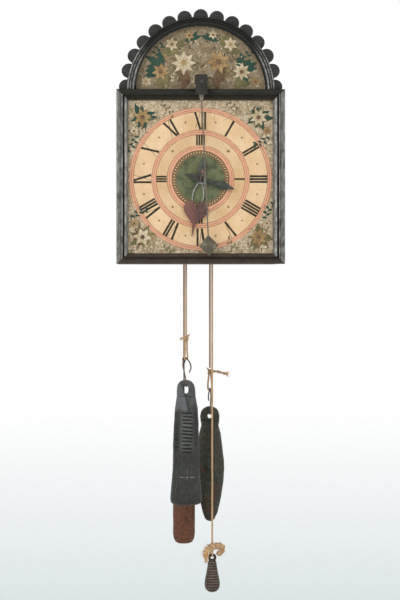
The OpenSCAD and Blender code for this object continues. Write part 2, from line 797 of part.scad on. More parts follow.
module pendulum_bob() {
    ring = [[0, bob_h / 2], [bob_w / 2, 0], [0, -bob_h / 2], [-bob_w / 2, 0]];
    ridge = 0.42;
    levels = [[ridge, -bob_t / 2], [0.94, -bob_t * 0.12], [0.94, bob_t * 0.12], [ridge, bob_t / 2]];
    color("#77786a") clock() leaning() translate([0, y_swing, -pendulum_l]) difference() {
        polyhedron(
            points = [for (l = levels) for (p = ring) [p[0] * l[0], l[1], p[1] * l[0]]],
            faces = concat([[1, 2, 3], [0, 1, 3]], [for (l = [0 : 2]) for (k = [0 : 3])
                let (a = l * 4 + k, b = l * 4 + (k + 1) % 4) each [[b + 4, b, a], [a + 4, b + 4, a]]],
                [[14, 13, 12], [15, 14, 12]]));
        cylinder(r = wire_r, h = bob_h);
    }
}

// Motion work and hands

module hand_arbor() {
    color("#8a6b43") clock() difference() {
        union() {
            flat_bar(0, 0, y_front + 2.5, y_front + 0.4, 5);
            round_bar(0, 0, y_front + 2.5, y_pin - 2.5, front_r);
            slab(y_drive, motion_t) toothed(drive_n, drive_r, 1.1, 1.4, 270 + 180 / drive_n);
            flat_bar(0, 0, y_drive - motion_t + 0.5, y_mwheel - 0.5, 4.4);
            slab(y_mwheel, motion_t) toothed(10, mpinion_r, 1.1, 1.4, 180);
        }
        translate([0, y_pin, 0]) rotate([0, 90, 0]) cylinder(r = 0.8, h = 12, center = true);
    }
}
module hand_pin() {
    color("#3b3a38") clock() translate([0.6, y_pin, 0]) rotate([0, 90, 0]) cylinder(r = 0.8, h = 10, center = true);
}
module motion_wheel() {
    color("#9c7a4c") clock() translate([-motion_c, 0, 0]) difference() {
        union() {
            slab(y_mwheel, motion_t) toothed(30, mwheel_r, 1.1, 1.4, 6);
            slab(y_mwheel - motion_t + 0.5, y_mwheel - motion_t - y_hwheel + 1) ngon(12, 3.4);
            slab(y_hwheel, motion_t) toothed(8, hpinion_r, 1, 1.3, 0);
        }
        rod(0, 0, y_mwheel + 1, y_mwheel - y_hwheel + motion_t + 2, pivot_r + pivot_gap);
    }
}
module hour_wheel() {
    color("#9c7a4c") clock() difference() {
        union() {
            slab(y_hwheel, motion_t) toothed(32, hwheel_r, 1, 1.3, 180 + 180 / 32);
            round_bar(0, 0, y_hwheel - 1, y_hour - hand_t, pipe_r);
        }
        rod(0, 0, y_hwheel + 1, y_hwheel - y_hour + hand_t + 2, front_r + run_gap);
    }
}
module hour_hand() {
    heart_in = 37.6;
    heart_out = hour_tip - 14.6;
    heart_w = 39;
    scale_y = (heart_out - heart_in) / 29;
    heart_up = heart_out - 22 * scale_y - 2;
    color("#4b3a3c") clock() slab(y_hour, hand_t) rotate(-hour_now) difference() {
        union() {
            circle(8);
            polygon([for (i = [0 : 47]) let (t = 360 * i / 48) [heart_w / 32 * 16 * pow(sin(t), 3),
                heart_out - scale_y * (17 + 13 * cos(t) - 5 * cos(2 * t) - 2 * cos(3 * t) - cos(4 * t))]]);
            polygon([[2, heart_out - 4], [0.5, hour_tip], [-0.5, hour_tip], [-2, heart_out - 4]]);
            for (s = [-1, 1]) polygon(concat(
                [for (i = [0 : 8]) [s * (1.9 + 7 * sin(22.5 * i)) + 0.9, 5 + heart_up * i / 8]],
                [for (i = [8 : -1 : 0]) [s * (1.9 + 7 * sin(22.5 * i)) - 0.9, 5 + heart_up * i / 8]]));
            polygon(concat([for (i = [0 : 12]) [-0.5 - 6.6 * sin(180 * pow(i / 12, 0.6)), -4 - 32 * i / 12]],
                [for (i = [12 : -1 : 0]) [0.5 + 6.6 * sin(180 * pow(i / 12, 0.6)), -4 - 32 * i / 12]]));
        }
        circle(pipe_r + 0.05);
    }
}
module quarter_hand() {
    leaf = quarter_tip - 17;
    tail = quarter_tip * 0.49;
    color("#4a4f48") clock() slab(y_quarter, hand_t) rotate(-quarter_now) difference() {
        union() {
            circle(6);
            polygon([[2.2, 0], [1.8, 9], [3.2, 19], [5.2, leaf - 8], [6.3, leaf], [5.2, leaf + 5],
                [2.4, leaf + 10.5], [0.4, quarter_tip], [-0.4, quarter_tip], [-2.4, leaf + 10.5],
                [-5.2, leaf + 5], [-6.3, leaf], [-5.2, leaf - 8], [-3.2, 19], [-1.8, 9], [-2.2, 0]]);
            polygon([[-2.4, 3], [-6.4, -4], [-6.4, -9], [-3.2, 9 - tail], [-0.4, -tail], [0.4, -tail],
                [3.2, 9 - tail], [6.4, -9], [6.4, -4], [2.4, 3]]);
        }
        circle(front_r + 0.05);
    }
}

// Strike train

lock_turn = atan2(lock_z - strike_z, lock_x);
warn_turn = atan2(warn_z - lock_z, warn_x - lock_x);
fly_turn = atan2(fly_z - warn_z, fly_x - warn_x);
lock_pin_y = y_swheel + 2.6;
lock_pin_t = wheel_t + 5.2;
warn_pin_y = y_lock + 2.4;
fly_pin_y = y_warn + 2.4;
small_pin_t = small_t + 4.8;
count_pin_y = y_count + 2.4;
count_pin_t = count_t + 5.2;

module strike_arbor() {
    color("#8a6b43") clock() {
        round_bar(0, strike_z, y_mid + 1, y_mid - bar_t + 2, pivot_r);
        flat_bar(0, strike_z, y_swheel - wheel_t, y_mid + 0.5, arbor_r);
        seat_bar(0, strike_z, y_swheel, y_swheel - wheel_t);
        round_bar(0, strike_z, y_strike - 0.5, y_swheel, arbor_r);
        round_bar(0, strike_z, count_pin_y - count_pin_t, y_strike - 1, front_r);
        on_axis(0, strike_z, count_pin_y) lantern(count_pin_t, count_pin_n, count_pin_r, 1.4, 270);
    }
}
module strike_wheel() {
    color("#9c7a4c") clock() translate([0, 0, strike_z]) {
        slab(y_swheel, wheel_t) wood_wheel(48, strike_r, 1.8, 14, 9, lock_turn + 180 / 48);
        for (i = [0 : lift_n - 1]) rotate([0, 360 * i / lift_n, 0]) translate([lift_r, 0, 0])
            slab(y_swheel + 6, 6) ngon(8, 1.5);
        rod(0, click_pivot, y_swheel + side_gap + ratchet_t, side_gap + ratchet_t, pivot_r);
    }
}
module strike_pulley() {
    color("#8f6f45") clock() translate([0, y_spulley, strike_z]) rotate([-90, 0, 0]) pulley();
}
module strike_click() {
    color("#54524d") clock() mirror([1, 0, 0])
        on_axis(0, strike_z + click_pivot, y_spulley + 0.7 + click_t) click();
}
module locking_wheel() {
    color("#96744a") clock() {
        strike_pivots(lock_x, lock_z);
        on_axis(lock_x, lock_z, lock_pin_y) lantern(lock_pin_t, 6, lock_pin_r, 2.2, lock_turn + 180);
        flat_bar(lock_x, lock_z, y_lock - small_t + 1, lock_pin_y, 3.4);
        flat_bar(lock_x, lock_z, y_strike - 0.5, y_lock - 1, 3.4);
        translate([lock_x, 0, lock_z]) {
            slab(y_lock, small_t) difference() {
                toothed(48, lock_r, 1.3, 1.7, warn_turn + 180 / 48);
                crossings(9, lock_r - 7, 7);
            }
            rotate([0, 80, 0]) translate([stop_r, 0, 0]) slab(y_lock - small_t + 1, 3.4) ngon(8, 1.3);
        }
    }
}
module warning_wheel() {
    color("#96744a") clock() {
        strike_pivots(warn_x, warn_z);
        on_axis(warn_x, warn_z, warn_pin_y) lantern(small_pin_t, 6, warn_pin_r, 1.6, warn_turn + 180);
        flat_bar(warn_x, warn_z, y_strike - 0.5, warn_pin_y, 3);
        flat_bar(warn_x, warn_z, warn_pin_y - small_pin_t, y_warn - 1, 3);
        flat_bar(warn_x, warn_z, y_warn - small_t + 1, y_mid + 0.5, 3);
        translate([warn_x, 0, warn_z]) slab(y_warn, small_t) difference() {
            toothed(42, warn_r, 1.1, 1.4, fly_turn + 180 / 42);
            crossings(7, warn_r - 5.6, 6);
        }
    }
}
module fly() {
    color("#8a7a5c") clock() {
        strike_pivots(fly_x, fly_z);
        on_axis(fly_x, fly_z, fly_pin_y) lantern(small_pin_t, 6, fly_pin_r, 1.3, fly_turn + 180);
        flat_bar(fly_x, fly_z, y_strike - 0.5, fly_pin_y, 2.4);
        flat_bar(fly_x, fly_z, fly_pin_y - small_pin_t, y_mid + 0.5, 2.4);
        translate([fly_x - vane_r, y_vane - vane_w, fly_z - vane_t / 2]) cube([2 * vane_r, vane_w, vane_t]);
    }
}
module count_wheel() {
    blow = 360 / count_n;
    color("#9c7a4c") clock() translate([0, 0, count_z]) difference() {
        union() {
            slab(y_count, count_t) toothed(count_n, count_r, 1.1, 1.4, 90 + 180 / count_n);
            slab(y_count + hoop_h, hoop_h) difference() {
                ngon(72, hoop_r);
                ngon(72, hoop_in);
                for (hour = [1 : 12]) rotate(-blow * (hour * (hour + 1) / 2 - 1))
                    translate([hoop_r - slot_deep, -2.3]) square([slot_deep + 2, 4.6]);
            }
            slab(y_count + hoop_h, hoop_h) ngon(12, 7);
        }
        rod(0, 0, y_count + hoop_h + 1, hoop_h + count_t + 2, pivot_r + pivot_gap);
    }
}

// Levers

// A flat arm from one point to another, w wide at its start and v wide at its end
module arm(from, to, w, v) {
    along = (to - from) / norm(to - from);
    over = [-along[1], along[0]];
    circle_from = w / 2;
    polygon([from + circle_from * over, from - circle_from * over, to - v / 2 * over, to + v / 2 * over]);
    translate(from) ngon(12, w * 0.62, 15);
}
module detent_lever() {
    catch = stop_r + 1.3 + 0.6;
    color("#5b5a55") clock() {
        round_bar(detent_x, detent_z, y_mid + 1, y_mid - bar_t + 2, pivot_r);
        flat_bar(detent_x, detent_z, y_strike - 0.5, y_mid + 0.5, lever_r + 0.5);
        round_bar(detent_x, detent_z, y_count + hoop_h - 0.4, y_strike - 1, lever_r);
        slab(y_count + hoop_h - 0.4, lever_t) {
            arm([detent_x, detent_z], [detent_x, count_z], 8, 5);
            polygon([[hoop_r + 0.6, count_z + 0.9], [hoop_r + 0.6, count_z - 0.9],
                [detent_x + 1.4, count_z - 2.2], [detent_x + 1.4, count_z + 2.2]]);
        }
        slab(y_lock - small_t - 0.4, 2) arm([detent_x, detent_z],
            [lock_x + catch * cos(-60), lock_z + catch * sin(-60) - 1], 8, 2);
        slab(y_mid + 5, lever_t) arm([detent_x, detent_z], [detent_x + 16, detent_z - 2.5], 8, 3);
    }
}
module lifting_lever() {
    tip = [lift_pin_r + 1.3 + 0.5, great_z];
    color("#5b5a55") clock() {
        round_bar(lift_x, lift_z, y_mid + 5, y_mwheel - 2.2, lever_r);
        slab(y_mwheel - 0.2, 2) arm([lift_x, lift_z], tip, 8, 2.4);
        slab(y_mid + 5, lever_t) arm([lift_x, lift_z], [lift_x - 12, lift_z + 5], 8, 3);
    }
}
module hammer() {
    tip = (lift_r + 1.5 + 0.6) * [-cos(10), sin(10)] + [0, strike_z];
    base = [hammer_x, hammer_z];
    head = [head_x - head_r, head_z];
    long = norm(head - base);
    color("#5f5b52") clock() {
        strike_pivots(hammer_x, hammer_z);
        flat_bar(hammer_x, hammer_z, y_strike - 0.5, y_mid + 0.5, lever_r);
        slab(y_swheel + 5, 4) arm(base, tip, 8, 3);
        translate([hammer_x, bell_y, hammer_z]) rotate([0, atan2(head[0] - base[0], head[1] - base[1]), 0])
            cylinder(r = 1.8, h = long);
        translate([head_x, bell_y, head_z]) rotate([0, -90, 0]) cylinder(r = head_r, h = 2 * head_r);
    }
}

// Ropes

// A strand from a pulley down to drop
module strand(x, y, top, drop) {
    translate([x, y, -drop]) cylinder(d = rope_d, h = drop + top);
}
module rope_wraps() {
    color("#a88a5e") clock() for (p = [[going_y, great_z], [strike_y, strike_z]])
        on_axis(0, p[1], p[0]) rotate_extrude(angle = 180) translate([rope_r, 0]) circle(d = rope_d);
}
module going_rope() {
    color("#a88a5e") clock() strand(-rope_r, going_y, great_z, going_end);
}
module pear_rope() {
    color("#a88a5e") clock() strand(rope_r, going_y, great_z, pear_end);
}
module strike_rope() {
    color("#9d8257") clock() strand(rope_r, strike_y, strike_z, strike_end);
}
module counter_rope() {
    color("#8d8162") clock() strand(-rope_r, strike_y, strike_z, counter_end);
}

// A knot with a loop under it, drawn down from the foot of its strand
loop_half = 3.3;
module knot(loop, tail) {
    low = -loop + loop_half + rope_d / 2;
    rotate_extrude($fn = 10) polygon([[0, 0], [rope_d / 2, 0], [3.4, -1.6], [4.4, -4.4], [5, -7], [4.6, -9.6],
        [3.4, -11], [0, -11]]);
    swept(concat([[-loop_half, 0, -8]], bend(0, low, loop_half, 180, 360, 8), [[loop_half, 0, -8]]), rope_d / 2 - 0.3);
    swept(tail, rope_d / 2 - 0.3);
}
going_loop = 41;
strike_loop = 37;
module going_knot() {
    color("#a88a5e") clock() translate([-rope_r, going_y, -going_end])
        knot(going_loop, [[-2, 0, -5], [-6, -0.6, -4.6], [-9, -1, -5.6], [-12, -1.4, -8.4]]);
}
module strike_knot() {
    color("#9d8257") clock() translate([rope_r, strike_y, -strike_end])
        knot(strike_loop, [[2, 0, -6], [8, -1, -5.2], [14, -1.6, -6.6], [20, -2, -8], [25, -2, -7.4], [31, -2, -8]]);
}
module pear_knot() {
    color("#a07f52") clock() translate([rope_r, going_y, -pear_end]) {
        rotate_extrude($fn = 12) polygon([[0, 0], [rope_d / 2, 0], [5, -1.5], [8.6, -4.5], [9.4, -7.4], [7.6, -10.6],
            [4, -12.6], [0, -13]]);
        swept([[0, -3, -11], [0, -5.6, -14.4], [0, -6.4, -17.8], [0, -5.8, -20.2], [0, -3.8, -21.1],
            [0, 0, -21.2], [0, 3.8, -21.1], [0, 5.8, -20.2], [0, 6.4, -17.8], [0, 5.6, -14.4],
            [0, 3, -11]], 1.2, 6, [1, 0, 0]);
    }
}

// A wire hook from a rope's loop, at the origin, down to the eye of a weight
module hook(drop, curl) {
    path = [[-0.6 * curl, -5, -22], [-curl, -4.6, -15], [-0.9 * curl, -4.4, -8], [-0.5 * curl, -4, -2.4],
        [-0.08 * curl, -3, 1.2], [0, 0, 2.2], [0.1 * curl, 3, 1], [0.5 * curl, 4, -3], [0.7 * curl, 3, -9],
        [0.55 * curl, -1, -16], [0.25 * curl, -6.6, -drop + 16], [0.1 * curl, -9.2, -drop + 9.5],
        [0, -9.4, -drop + 4.8], [0, -8.5, -drop + 1.6], [0, -6.4, -drop + 0.1], [0, 0, -drop],
        [0, 6.4, -drop + 0.1], [0, 8.5, -drop + 1.6], [0, 9.4, -drop + 4.8], [0, 9.5, -drop + 9]];
    swept(path, hook_d / 2, 8, [0, 0.2, 1]);
}
eye_drop = 16;
eye_w = 8;
going_eye_h = 13;
strike_eye_r = 4;
hook_room = 0.3;
going_hook_z = -going_top - eye_drop + going_eye_h / 2 - hook_d / 2 - hook_room;
strike_hook_z = -strike_top - eye_drop + strike_eye_r - hook_d / 2 - hook_room;
module going_hook() {
    z = -going_end - going_loop + rope_d - 1.1;
    color("#3c3a37") clock() translate([-rope_r, going_y, z]) hook(z - going_hook_z, 7.4);
}
module strike_hook() {
    z = -strike_end - strike_loop + rope_d - 1.1;
    color("#3c3a37") clock() translate([rope_r, strike_y, z]) hook(z - strike_hook_z, 4.4);
}

// Weights

// Flat cheeks for a weight's eye: narrow at the top, wide from flat down
module cheeks(flat, thick, low) {
    side_slab(-60, 120) polygon([[-thick / 2, 5], [thick / 2, 5], [thick / 2, -flat], [60, -flat - 26], [60, -low],
        [-60, -low], [-60, -flat - 26], [-thick / 2, -flat]]);
}
module going_weight() {
    r = going_r;
    l = going_l;
    color("#6d6f6c") clock() translate([-rope_r, going_y, -going_top]) difference() {
        intersection() {
            rotate_extrude() polygon([[0, 0], [6, -0.6], [11, -3], [14.6, -7.6], [15.8, -13], [16.2, -22],
                [16.4, -60], [17.4, -100], [r * 0.77, -l * 0.7], [r * 0.87, -l * 0.8], [r * 0.97, -l * 0.9],
                [r, -l * 0.945], [r * 0.96, -l * 0.975], [r * 0.8, -l * 0.993], [r * 0.5, -l], [0, -l]]);
            cheeks(eye_drop + 10, 12, l + 5);
        }
        for (z = [eye_drop - 2.5, eye_drop + 2.5]) translate([0, 0, -z]) rotate([90, 0, 0])
            cylinder(r = eye_w / 2, h = 40, center = true);
        translate([0, 0, -eye_drop]) cube([eye_w, 40, 5], center = true);
        for (i = [0 : 10]) translate([0, -17.8 - 0.3 * i, -57 - 5.6 * i]) rotate([45, 0, 0])
            cube([22, 1.6, 1.6], center = true);
    }
}
module strike_weight() {
    r = strike_wr;
    l = strike_l;
    color("#3f443c") clock() translate([rope_r, strike_y, -strike_top]) difference() {
        intersection() {
            rotate_extrude() polygon([[0, 0], [6, -1], [11, -4], [14.6, -9], [16, -16], [15.4, -24], [14, -31],
                [15, -34], [17.6, -44], [r * 0.86, -l * 0.34], [r * 0.97, -l * 0.46], [r, -l * 0.54],
                [r * 0.96, -l * 0.64], [r * 0.82, -l * 0.76], [r * 0.55, -l * 0.88], [r * 0.26, -l * 0.96],
                [r * 0.1, -l * 0.99], [0, -l]]);
            cheeks(eye_drop + 6, 12, l + 5);
        }
        translate([0, 0, -eye_drop]) rotate([90, 0, 0]) cylinder(r = strike_eye_r, h = 40, center = true);
    }
}
module counterweight() {
    r = counter_r;
    l = counter_l;
    color("#6e3f31") clock() translate([-rope_r, strike_y, -counter_top]) {
        rotate_extrude() polygon([[0, 0], [4, -0.8], [r * 0.6, -6], [r * 0.84, -14], [r * 0.93, -26], [r, -l * 0.5],
            [r, -l * 0.86], [r * 0.94, -l * 0.93], [r * 0.74, -l * 0.98], [r * 0.4, -l], [0, -l]]);
        translate([0, 0, -1]) cylinder(d = hook_d, h = counter_top - counter_end - 4);
        translate([0, 0, counter_top - counter_end - 7]) rotate_extrude() polygon([[0, 0], [2.2, 0.4], [2.9, 2],
            [2.9, 5], [2.2, 6.6], [rope_d / 2, 7], [0, 7]]);
    }
}
module pear_weight() {
    r = pear_r;
    l = pear_l;
    ring = function (z) 0.7 * abs(sin(z * 36));
    color("#3c2a20") clock() translate([rope_r, going_y, -pear_top]) difference() {
        rotate_extrude() polygon(concat([[0, 0], [3.2, -0.5], [5.8, -2.4], [7.2, -5.4], [7.2, -8.4], [6.2, -11],
            [5.4, -12.6]], [for (i = [0 : 40]) let (z = 13.5 + i * (l - 17.5) / 40, u = i / 40)
                [5.6 + (r - 5.6) * pow(sin(180 * pow(u, 0.86) * 0.78), 0.8) - ring(i / 2), -z]],
            [[r * 0.52, -l + 2], [r * 0.3, -l + 0.6], [0, -l]]));
        for (s = [-1, 1]) translate([0, s * 12, -3]) cube([30, 16, 17], center = true);
        translate([0, 0, -5.6]) rotate([90, 0, 0]) cylinder(r = 2.4, h = 30, center = true);
    }
}

dial_board();
frame_side_rails();
frame_top_rail();
frame_bottom_rail();
arch_board();
arch_moulding();
verge_cock();
verge_rear_cock();
back_board();
base_board();
top_board();
corner_posts();
front_bar();
middle_bar();
rear_bar();
step_block();
bell_stand();
bell();
great_arbor();
great_wheel();
quarter_hand();
hand_pin();
going_pulley();
going_click();
second_arbor();
contrate_wheel();
crown_arbor();
crown_wheel();
hand_arbor();
motion_wheel();
hour_wheel();
hour_hand();
verge();
pendulum_rod();
pendulum_bob();
strike_arbor();
strike_wheel();
strike_pulley();
strike_click();
locking_wheel();
warning_wheel();
fly();
count_wheel();
detent_lever();
lifting_lever();
hammer();
rope_wraps();
going_rope();
strike_rope();
counter_rope();
pear_rope();
going_knot();
strike_knot();
pear_knot();
going_hook();
strike_hook();
going_weight();
strike_weight();
counterweight();
pear_weight();
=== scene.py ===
import json
import math
import random

import bpy
from bpy.props import FloatProperty, FloatVectorProperty, PointerProperty
from mathutils import Matrix, Vector


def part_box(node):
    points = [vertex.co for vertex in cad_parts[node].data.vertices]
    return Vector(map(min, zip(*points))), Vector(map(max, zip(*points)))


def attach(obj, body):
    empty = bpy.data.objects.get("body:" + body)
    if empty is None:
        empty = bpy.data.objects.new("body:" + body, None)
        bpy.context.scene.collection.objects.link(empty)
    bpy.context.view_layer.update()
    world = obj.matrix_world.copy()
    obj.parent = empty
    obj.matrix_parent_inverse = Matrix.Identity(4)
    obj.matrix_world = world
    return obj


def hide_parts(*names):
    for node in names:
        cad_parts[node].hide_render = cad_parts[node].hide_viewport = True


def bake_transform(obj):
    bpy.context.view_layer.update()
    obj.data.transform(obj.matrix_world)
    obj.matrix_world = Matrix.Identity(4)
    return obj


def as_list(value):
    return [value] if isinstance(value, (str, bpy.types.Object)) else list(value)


bl_info = {
    "name": "Wooden works clock",
    "version": (1, 0, 0),
    "blender": (4, 5, 0),
    "location": "View3D > Sidebar > Clock",
    "description": "Dresses the packed frame of a wall clock with rope weights and a painted dial",
    "category": "Object",
}

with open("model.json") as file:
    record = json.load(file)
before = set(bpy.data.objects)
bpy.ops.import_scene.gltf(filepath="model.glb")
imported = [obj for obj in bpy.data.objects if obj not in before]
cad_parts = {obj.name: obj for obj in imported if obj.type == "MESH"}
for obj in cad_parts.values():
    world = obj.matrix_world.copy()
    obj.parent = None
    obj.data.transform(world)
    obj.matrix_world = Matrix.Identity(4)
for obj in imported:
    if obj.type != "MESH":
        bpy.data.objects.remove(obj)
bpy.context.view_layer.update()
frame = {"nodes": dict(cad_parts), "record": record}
NODES = frame["nodes"]
BODY_OF = {node: body for body, members in frame["record"]["behaviour"]["bodies"].items() for node in members}
SLOT_OF = {part["node"]: part["material_slot"] for part in frame["record"]["subparts"]}

MM = 0.001
HANG = 190.0  # the dial's centre hangs this far below the origin, in millimetres

# Planes and places of part.scad, in millimetres from the dial's centre
Y_FACE = -176.0
FRAME_HALF, FRAME_TOP, FRAME_LOW = 135.0, 144.0, -136.0
ARCH_Z = 141.0
ROPE_R = 21.0
GOING_Y, STRIKE_Y = -130.5, -56.5
GREAT_Z, STRIKE_Z = -40.0, -14.0
GOING_END, STRIKE_END, COUNTER_END, PEAR_END = -250.0, -304.0, -286.0, -585.0
GOING_TOP, GOING_LONG = -322.0, 202.0
STRIKE_TOP, STRIKE_LONG = -365.5, 187.0
PEAR_TOP = -601.0
PEAR_NECK = 13.0  # from the pear's top to its first ring
PEAR_RING = 4.2
CREASE_X, CREASE_Z, CREASE_SLOPE = 6.0, 334.0, 0.237  # the ridge from the going weight's eye to its file marks


def at(x, y, z):
    """A point in metres from millimetres that are measured from the dial's centre."""
    return Vector((x * MM, y * MM, (z - HANG) * MM))


def shade(text):
    """A linear colour from the six letters of a screen colour."""
    parts = [int(text[i:i + 2], 16) / 255 for i in (0, 2, 4)]
    return tuple(p / 12.92 if p <= 0.04045 else ((p + 0.055) / 1.055) ** 2.4 for p in parts)


def toned(colour, *by):
    """A colour times one number, or times three."""
    return [min(1.0, part * times) for part, times in zip(colour, by if len(by) == 3 else by * 3)]


# What a user would change


def tint(name, description, *default):
    return FloatVectorProperty(name=name, description=description, subtype="COLOR", size=3, min=0.0, max=1.0,
                               default=default)


def length(name, description, default, low, high):
    return FloatProperty(name=name, description=description, default=default, min=low, max=high, unit="LENGTH")


class ClockColours(bpy.types.PropertyGroup):
    frame_dark: tint("Frame", "Stain of the moulded frame and the arch", 0.02, 0.018, 0.014)
    # Grey of worn stain, used also as painted highlight on the frame's beads, coves and ridges.
    frame_worn_and_lit: tint("Worn frame", "Edges and flats where the stain has greyed", 0.5, 0.49, 0.47)
    red_ring: tint("Red rings", "Faded red of the dial's three rings", 0.72, 0.375, 0.228)
    cream_ring: tint("Cream rings", "Ground under the numerals", 0.8, 0.58, 0.36)
    centre_green: tint("Dial centre", "Green disc in the middle of the dial", 0.125, 0.137, 0.072)
    ink: tint("Ink", "Paint of the numerals", 0.026, 0.02, 0.012)
    hemp: tint("Rope", "Hemp of the ropes", 0.7, 0.46, 0.262)
    rust: tint("Rust", "Rust of the hidden counterweight", 0.118, 0.039, 0.014)
    plain_wood: tint("Case wood", "Unfinished wood of the case", 0.3, 0.19, 0.1)
    wheel_wood: tint("Wheel wood", "Wood of the wheels", 0.42, 0.27, 0.14)


class ClockSizes(bpy.types.PropertyGroup):
    rope: length("Rope", "Diameter of a rope", 0.0032, 0.002, 0.005)
    lay: length("Lay", "Length of one turn of the rope's strands", 0.0105, 0.006, 0.02)
    wire: length("Hook wire", "Diameter of the hooks' wire", 0.0022, 0.001, 0.004)
    numeral: length("Numeral", "Height of the hour numerals", 0.0282, 0.015, 0.029)


class ClockStage(bpy.types.PropertyGroup):
    distance: length("Camera distance", "From the dial to the camera", 11.0, 1.0, 15.0)
    azimuth: FloatProperty(name="Azimuth", description="Camera's turn to the clock's left", default=math.radians(-2.8),
                           min=-1.5, max=1.5, subtype="ANGLE")
    key: FloatProperty(name="Key light", description="Power of the main lamp", default=26.0, min=0.0, max=200.0)
    world: FloatProperty(name="Room light", description="Strength of the light from all round", default=0.78,
                         min=0.0, max=2.0)


# Shader maths: a socket in an expression, and the node tree that holds it


def maths(operation, swapped=False):
    """A method that adds a Math node for a wire and what it is combined with."""
    def method(self, *others):
        values = (self, *others)
        return self.graph.node("Math", values[::-1] if swapped else values, operation=operation)[0]
    return method


class Wire:
    """One output socket. Arithmetic on it adds Math nodes to its tree."""

    def __init__(self, graph, socket):
        self.graph, self.socket = graph, socket

    __add__, __radd__ = maths("ADD"), maths("ADD", True)
    __sub__, __rsub__ = maths("SUBTRACT"), maths("SUBTRACT", True)
    __mul__, __rmul__ = maths("MULTIPLY"), maths("MULTIPLY", True)
    __gt__, __lt__, most = maths("GREATER_THAN"), maths("LESS_THAN"), maths("MAXIMUM")
    sin, abs, fract, sqrt = maths("SINE"), maths("ABSOLUTE"), maths("FRACT"), maths("SQRT")
    angle = maths("ARCTAN2")

    def held(self):
        """The same value, kept between 0 and 1."""
        return self.graph.node("Math", [self, 0.0], operation="ADD", use_clamp=True)[0]

    def ramp(self, low, high):
        """A smooth step from 0 at low to 1 at high."""
        return self.graph.node("MapRange", [self, low, high, 0.0, 1.0], interpolation_type="SMOOTHSTEP")[0]

    def band(self, low, high, soft):
        """1 between low and high, with soft edges."""
        return self.ramp(low - soft, low + soft) * (1.0 - self.ramp(high - soft, high + soft))


class Graph:
    """A node tree. node() adds any node, and mix() blends two colours."""

    def __init__(self, tree):
        self.tree = tree

    def add(self, kind, values=(), **settings):
        made = self.tree.nodes.new("ShaderNode" + kind)
        for key, value in settings.items():
            setattr(made, key, value)
        for key, value in values.items() if isinstance(values, dict) else enumerate(values):
            self.feed(made.inputs[key], value)
        return made

    def feed(self, socket, value):
        """Links a wire to a socket, or sets the socket's number, vector or colour."""
        if isinstance(value, Wire):
            self.tree.links.new(value.socket, socket)
        else:
            socket.default_value = (*value, 1.0) if socket.type == "RGBA" else value

    def node(self, kind, values=(), keep=None, **settings):
        """A new node's outputs, or the one that keep names."""
        outs = [out for out in self.add(kind, values, **settings).outputs if out.enabled]
        return Wire(self, next(out for out in outs if out.name == keep)) if keep else [Wire(self, out) for out in outs]

    def mix(self, factor, a, b):
        made = self.add("Mix", data_type="RGBA", clamp_factor=True)
        for index, value in ((0, factor), (6, a), (7, b)):
            self.feed(made.inputs[index], value)
        return Wire(self, made.outputs[2])


class Finish(Graph):
    """A material. Its colour is built up in layers: ground() first, then lay() over it, then end()."""

    def __init__(self, name, roughness=0.6, metallic=0.0, specular=0.5):
        self.material = bpy.data.materials.new(name)
        self.material.use_nodes = True
        super().__init__(self.material.node_tree)
        self.inputs = self.tree.nodes["Principled BSDF"].inputs
        for key, value in (("Roughness", roughness), ("Metallic", metallic), ("Specular IOR Level", specular)):
            self.feed(self.inputs[key], value)
        self.place = self.node("TexCoord", keep="Object")

    def parts(self):
        """x, y and z of the place, in millimetres from the dial's centre."""
        x, y, z = self.node("SeparateXYZ", [self.place])
        return x * 1000.0, y * 1000.0, z * 1000.0 + HANG

    def stretched(self, scale, turn=(0.0, 0.0, 0.0)):
        return self.node("Mapping", {"Vector": self.place, "Scale": scale, "Rotation": turn})[0]

    def noise(self, scale, detail=4.0, rough=0.55, vector=None, distortion=0.0):
        return self.node("TexNoise", {"Vector": vector or self.place, "Scale": scale, "Detail": detail,
                                      "Roughness": rough, "Distortion": distortion}, keep="Fac")

    def cells(self, scale, vector=None, feature="F1"):
        inputs = {"Vector": vector or self.place, "Scale": scale}
        return self.node("TexVoronoi", inputs, keep="Distance", feature=feature)

    def hollow(self):
        """The depth of hollows that the mesh carries with it."""
        return self.node("Attribute", keep="Fac", attribute_name="hollow")

    def ground(self, mask, a, b):
        self.colour = self.mix(mask, a, b)

    def lay(self, mask, colour):
        self.colour = self.mix(mask, self.colour, colour)

    def end(self, roughness, height, strength, distance, metallic=None):
        self.feed(self.inputs["Base Color"], self.colour)
        self.feed(self.inputs["Roughness"], roughness.held())
        if metallic is not None:
            self.feed(self.inputs["Metallic"], metallic.held())
        bump = self.node("Bump", {"Strength": strength, "Distance": distance, "Height": height})[0]
        self.feed(self.inputs["Normal"], bump)
        return self.material


# Finishes. Lengths inside them are millimetres, and noise scales are per metre.


def colours():
    return bpy.context.scene.clock_colours


def along(axis, lengthwise, across):
    """Noise scales for grain that runs along an axis."""
    return tuple(lengthwise if letter == axis else across for letter in "xyz")


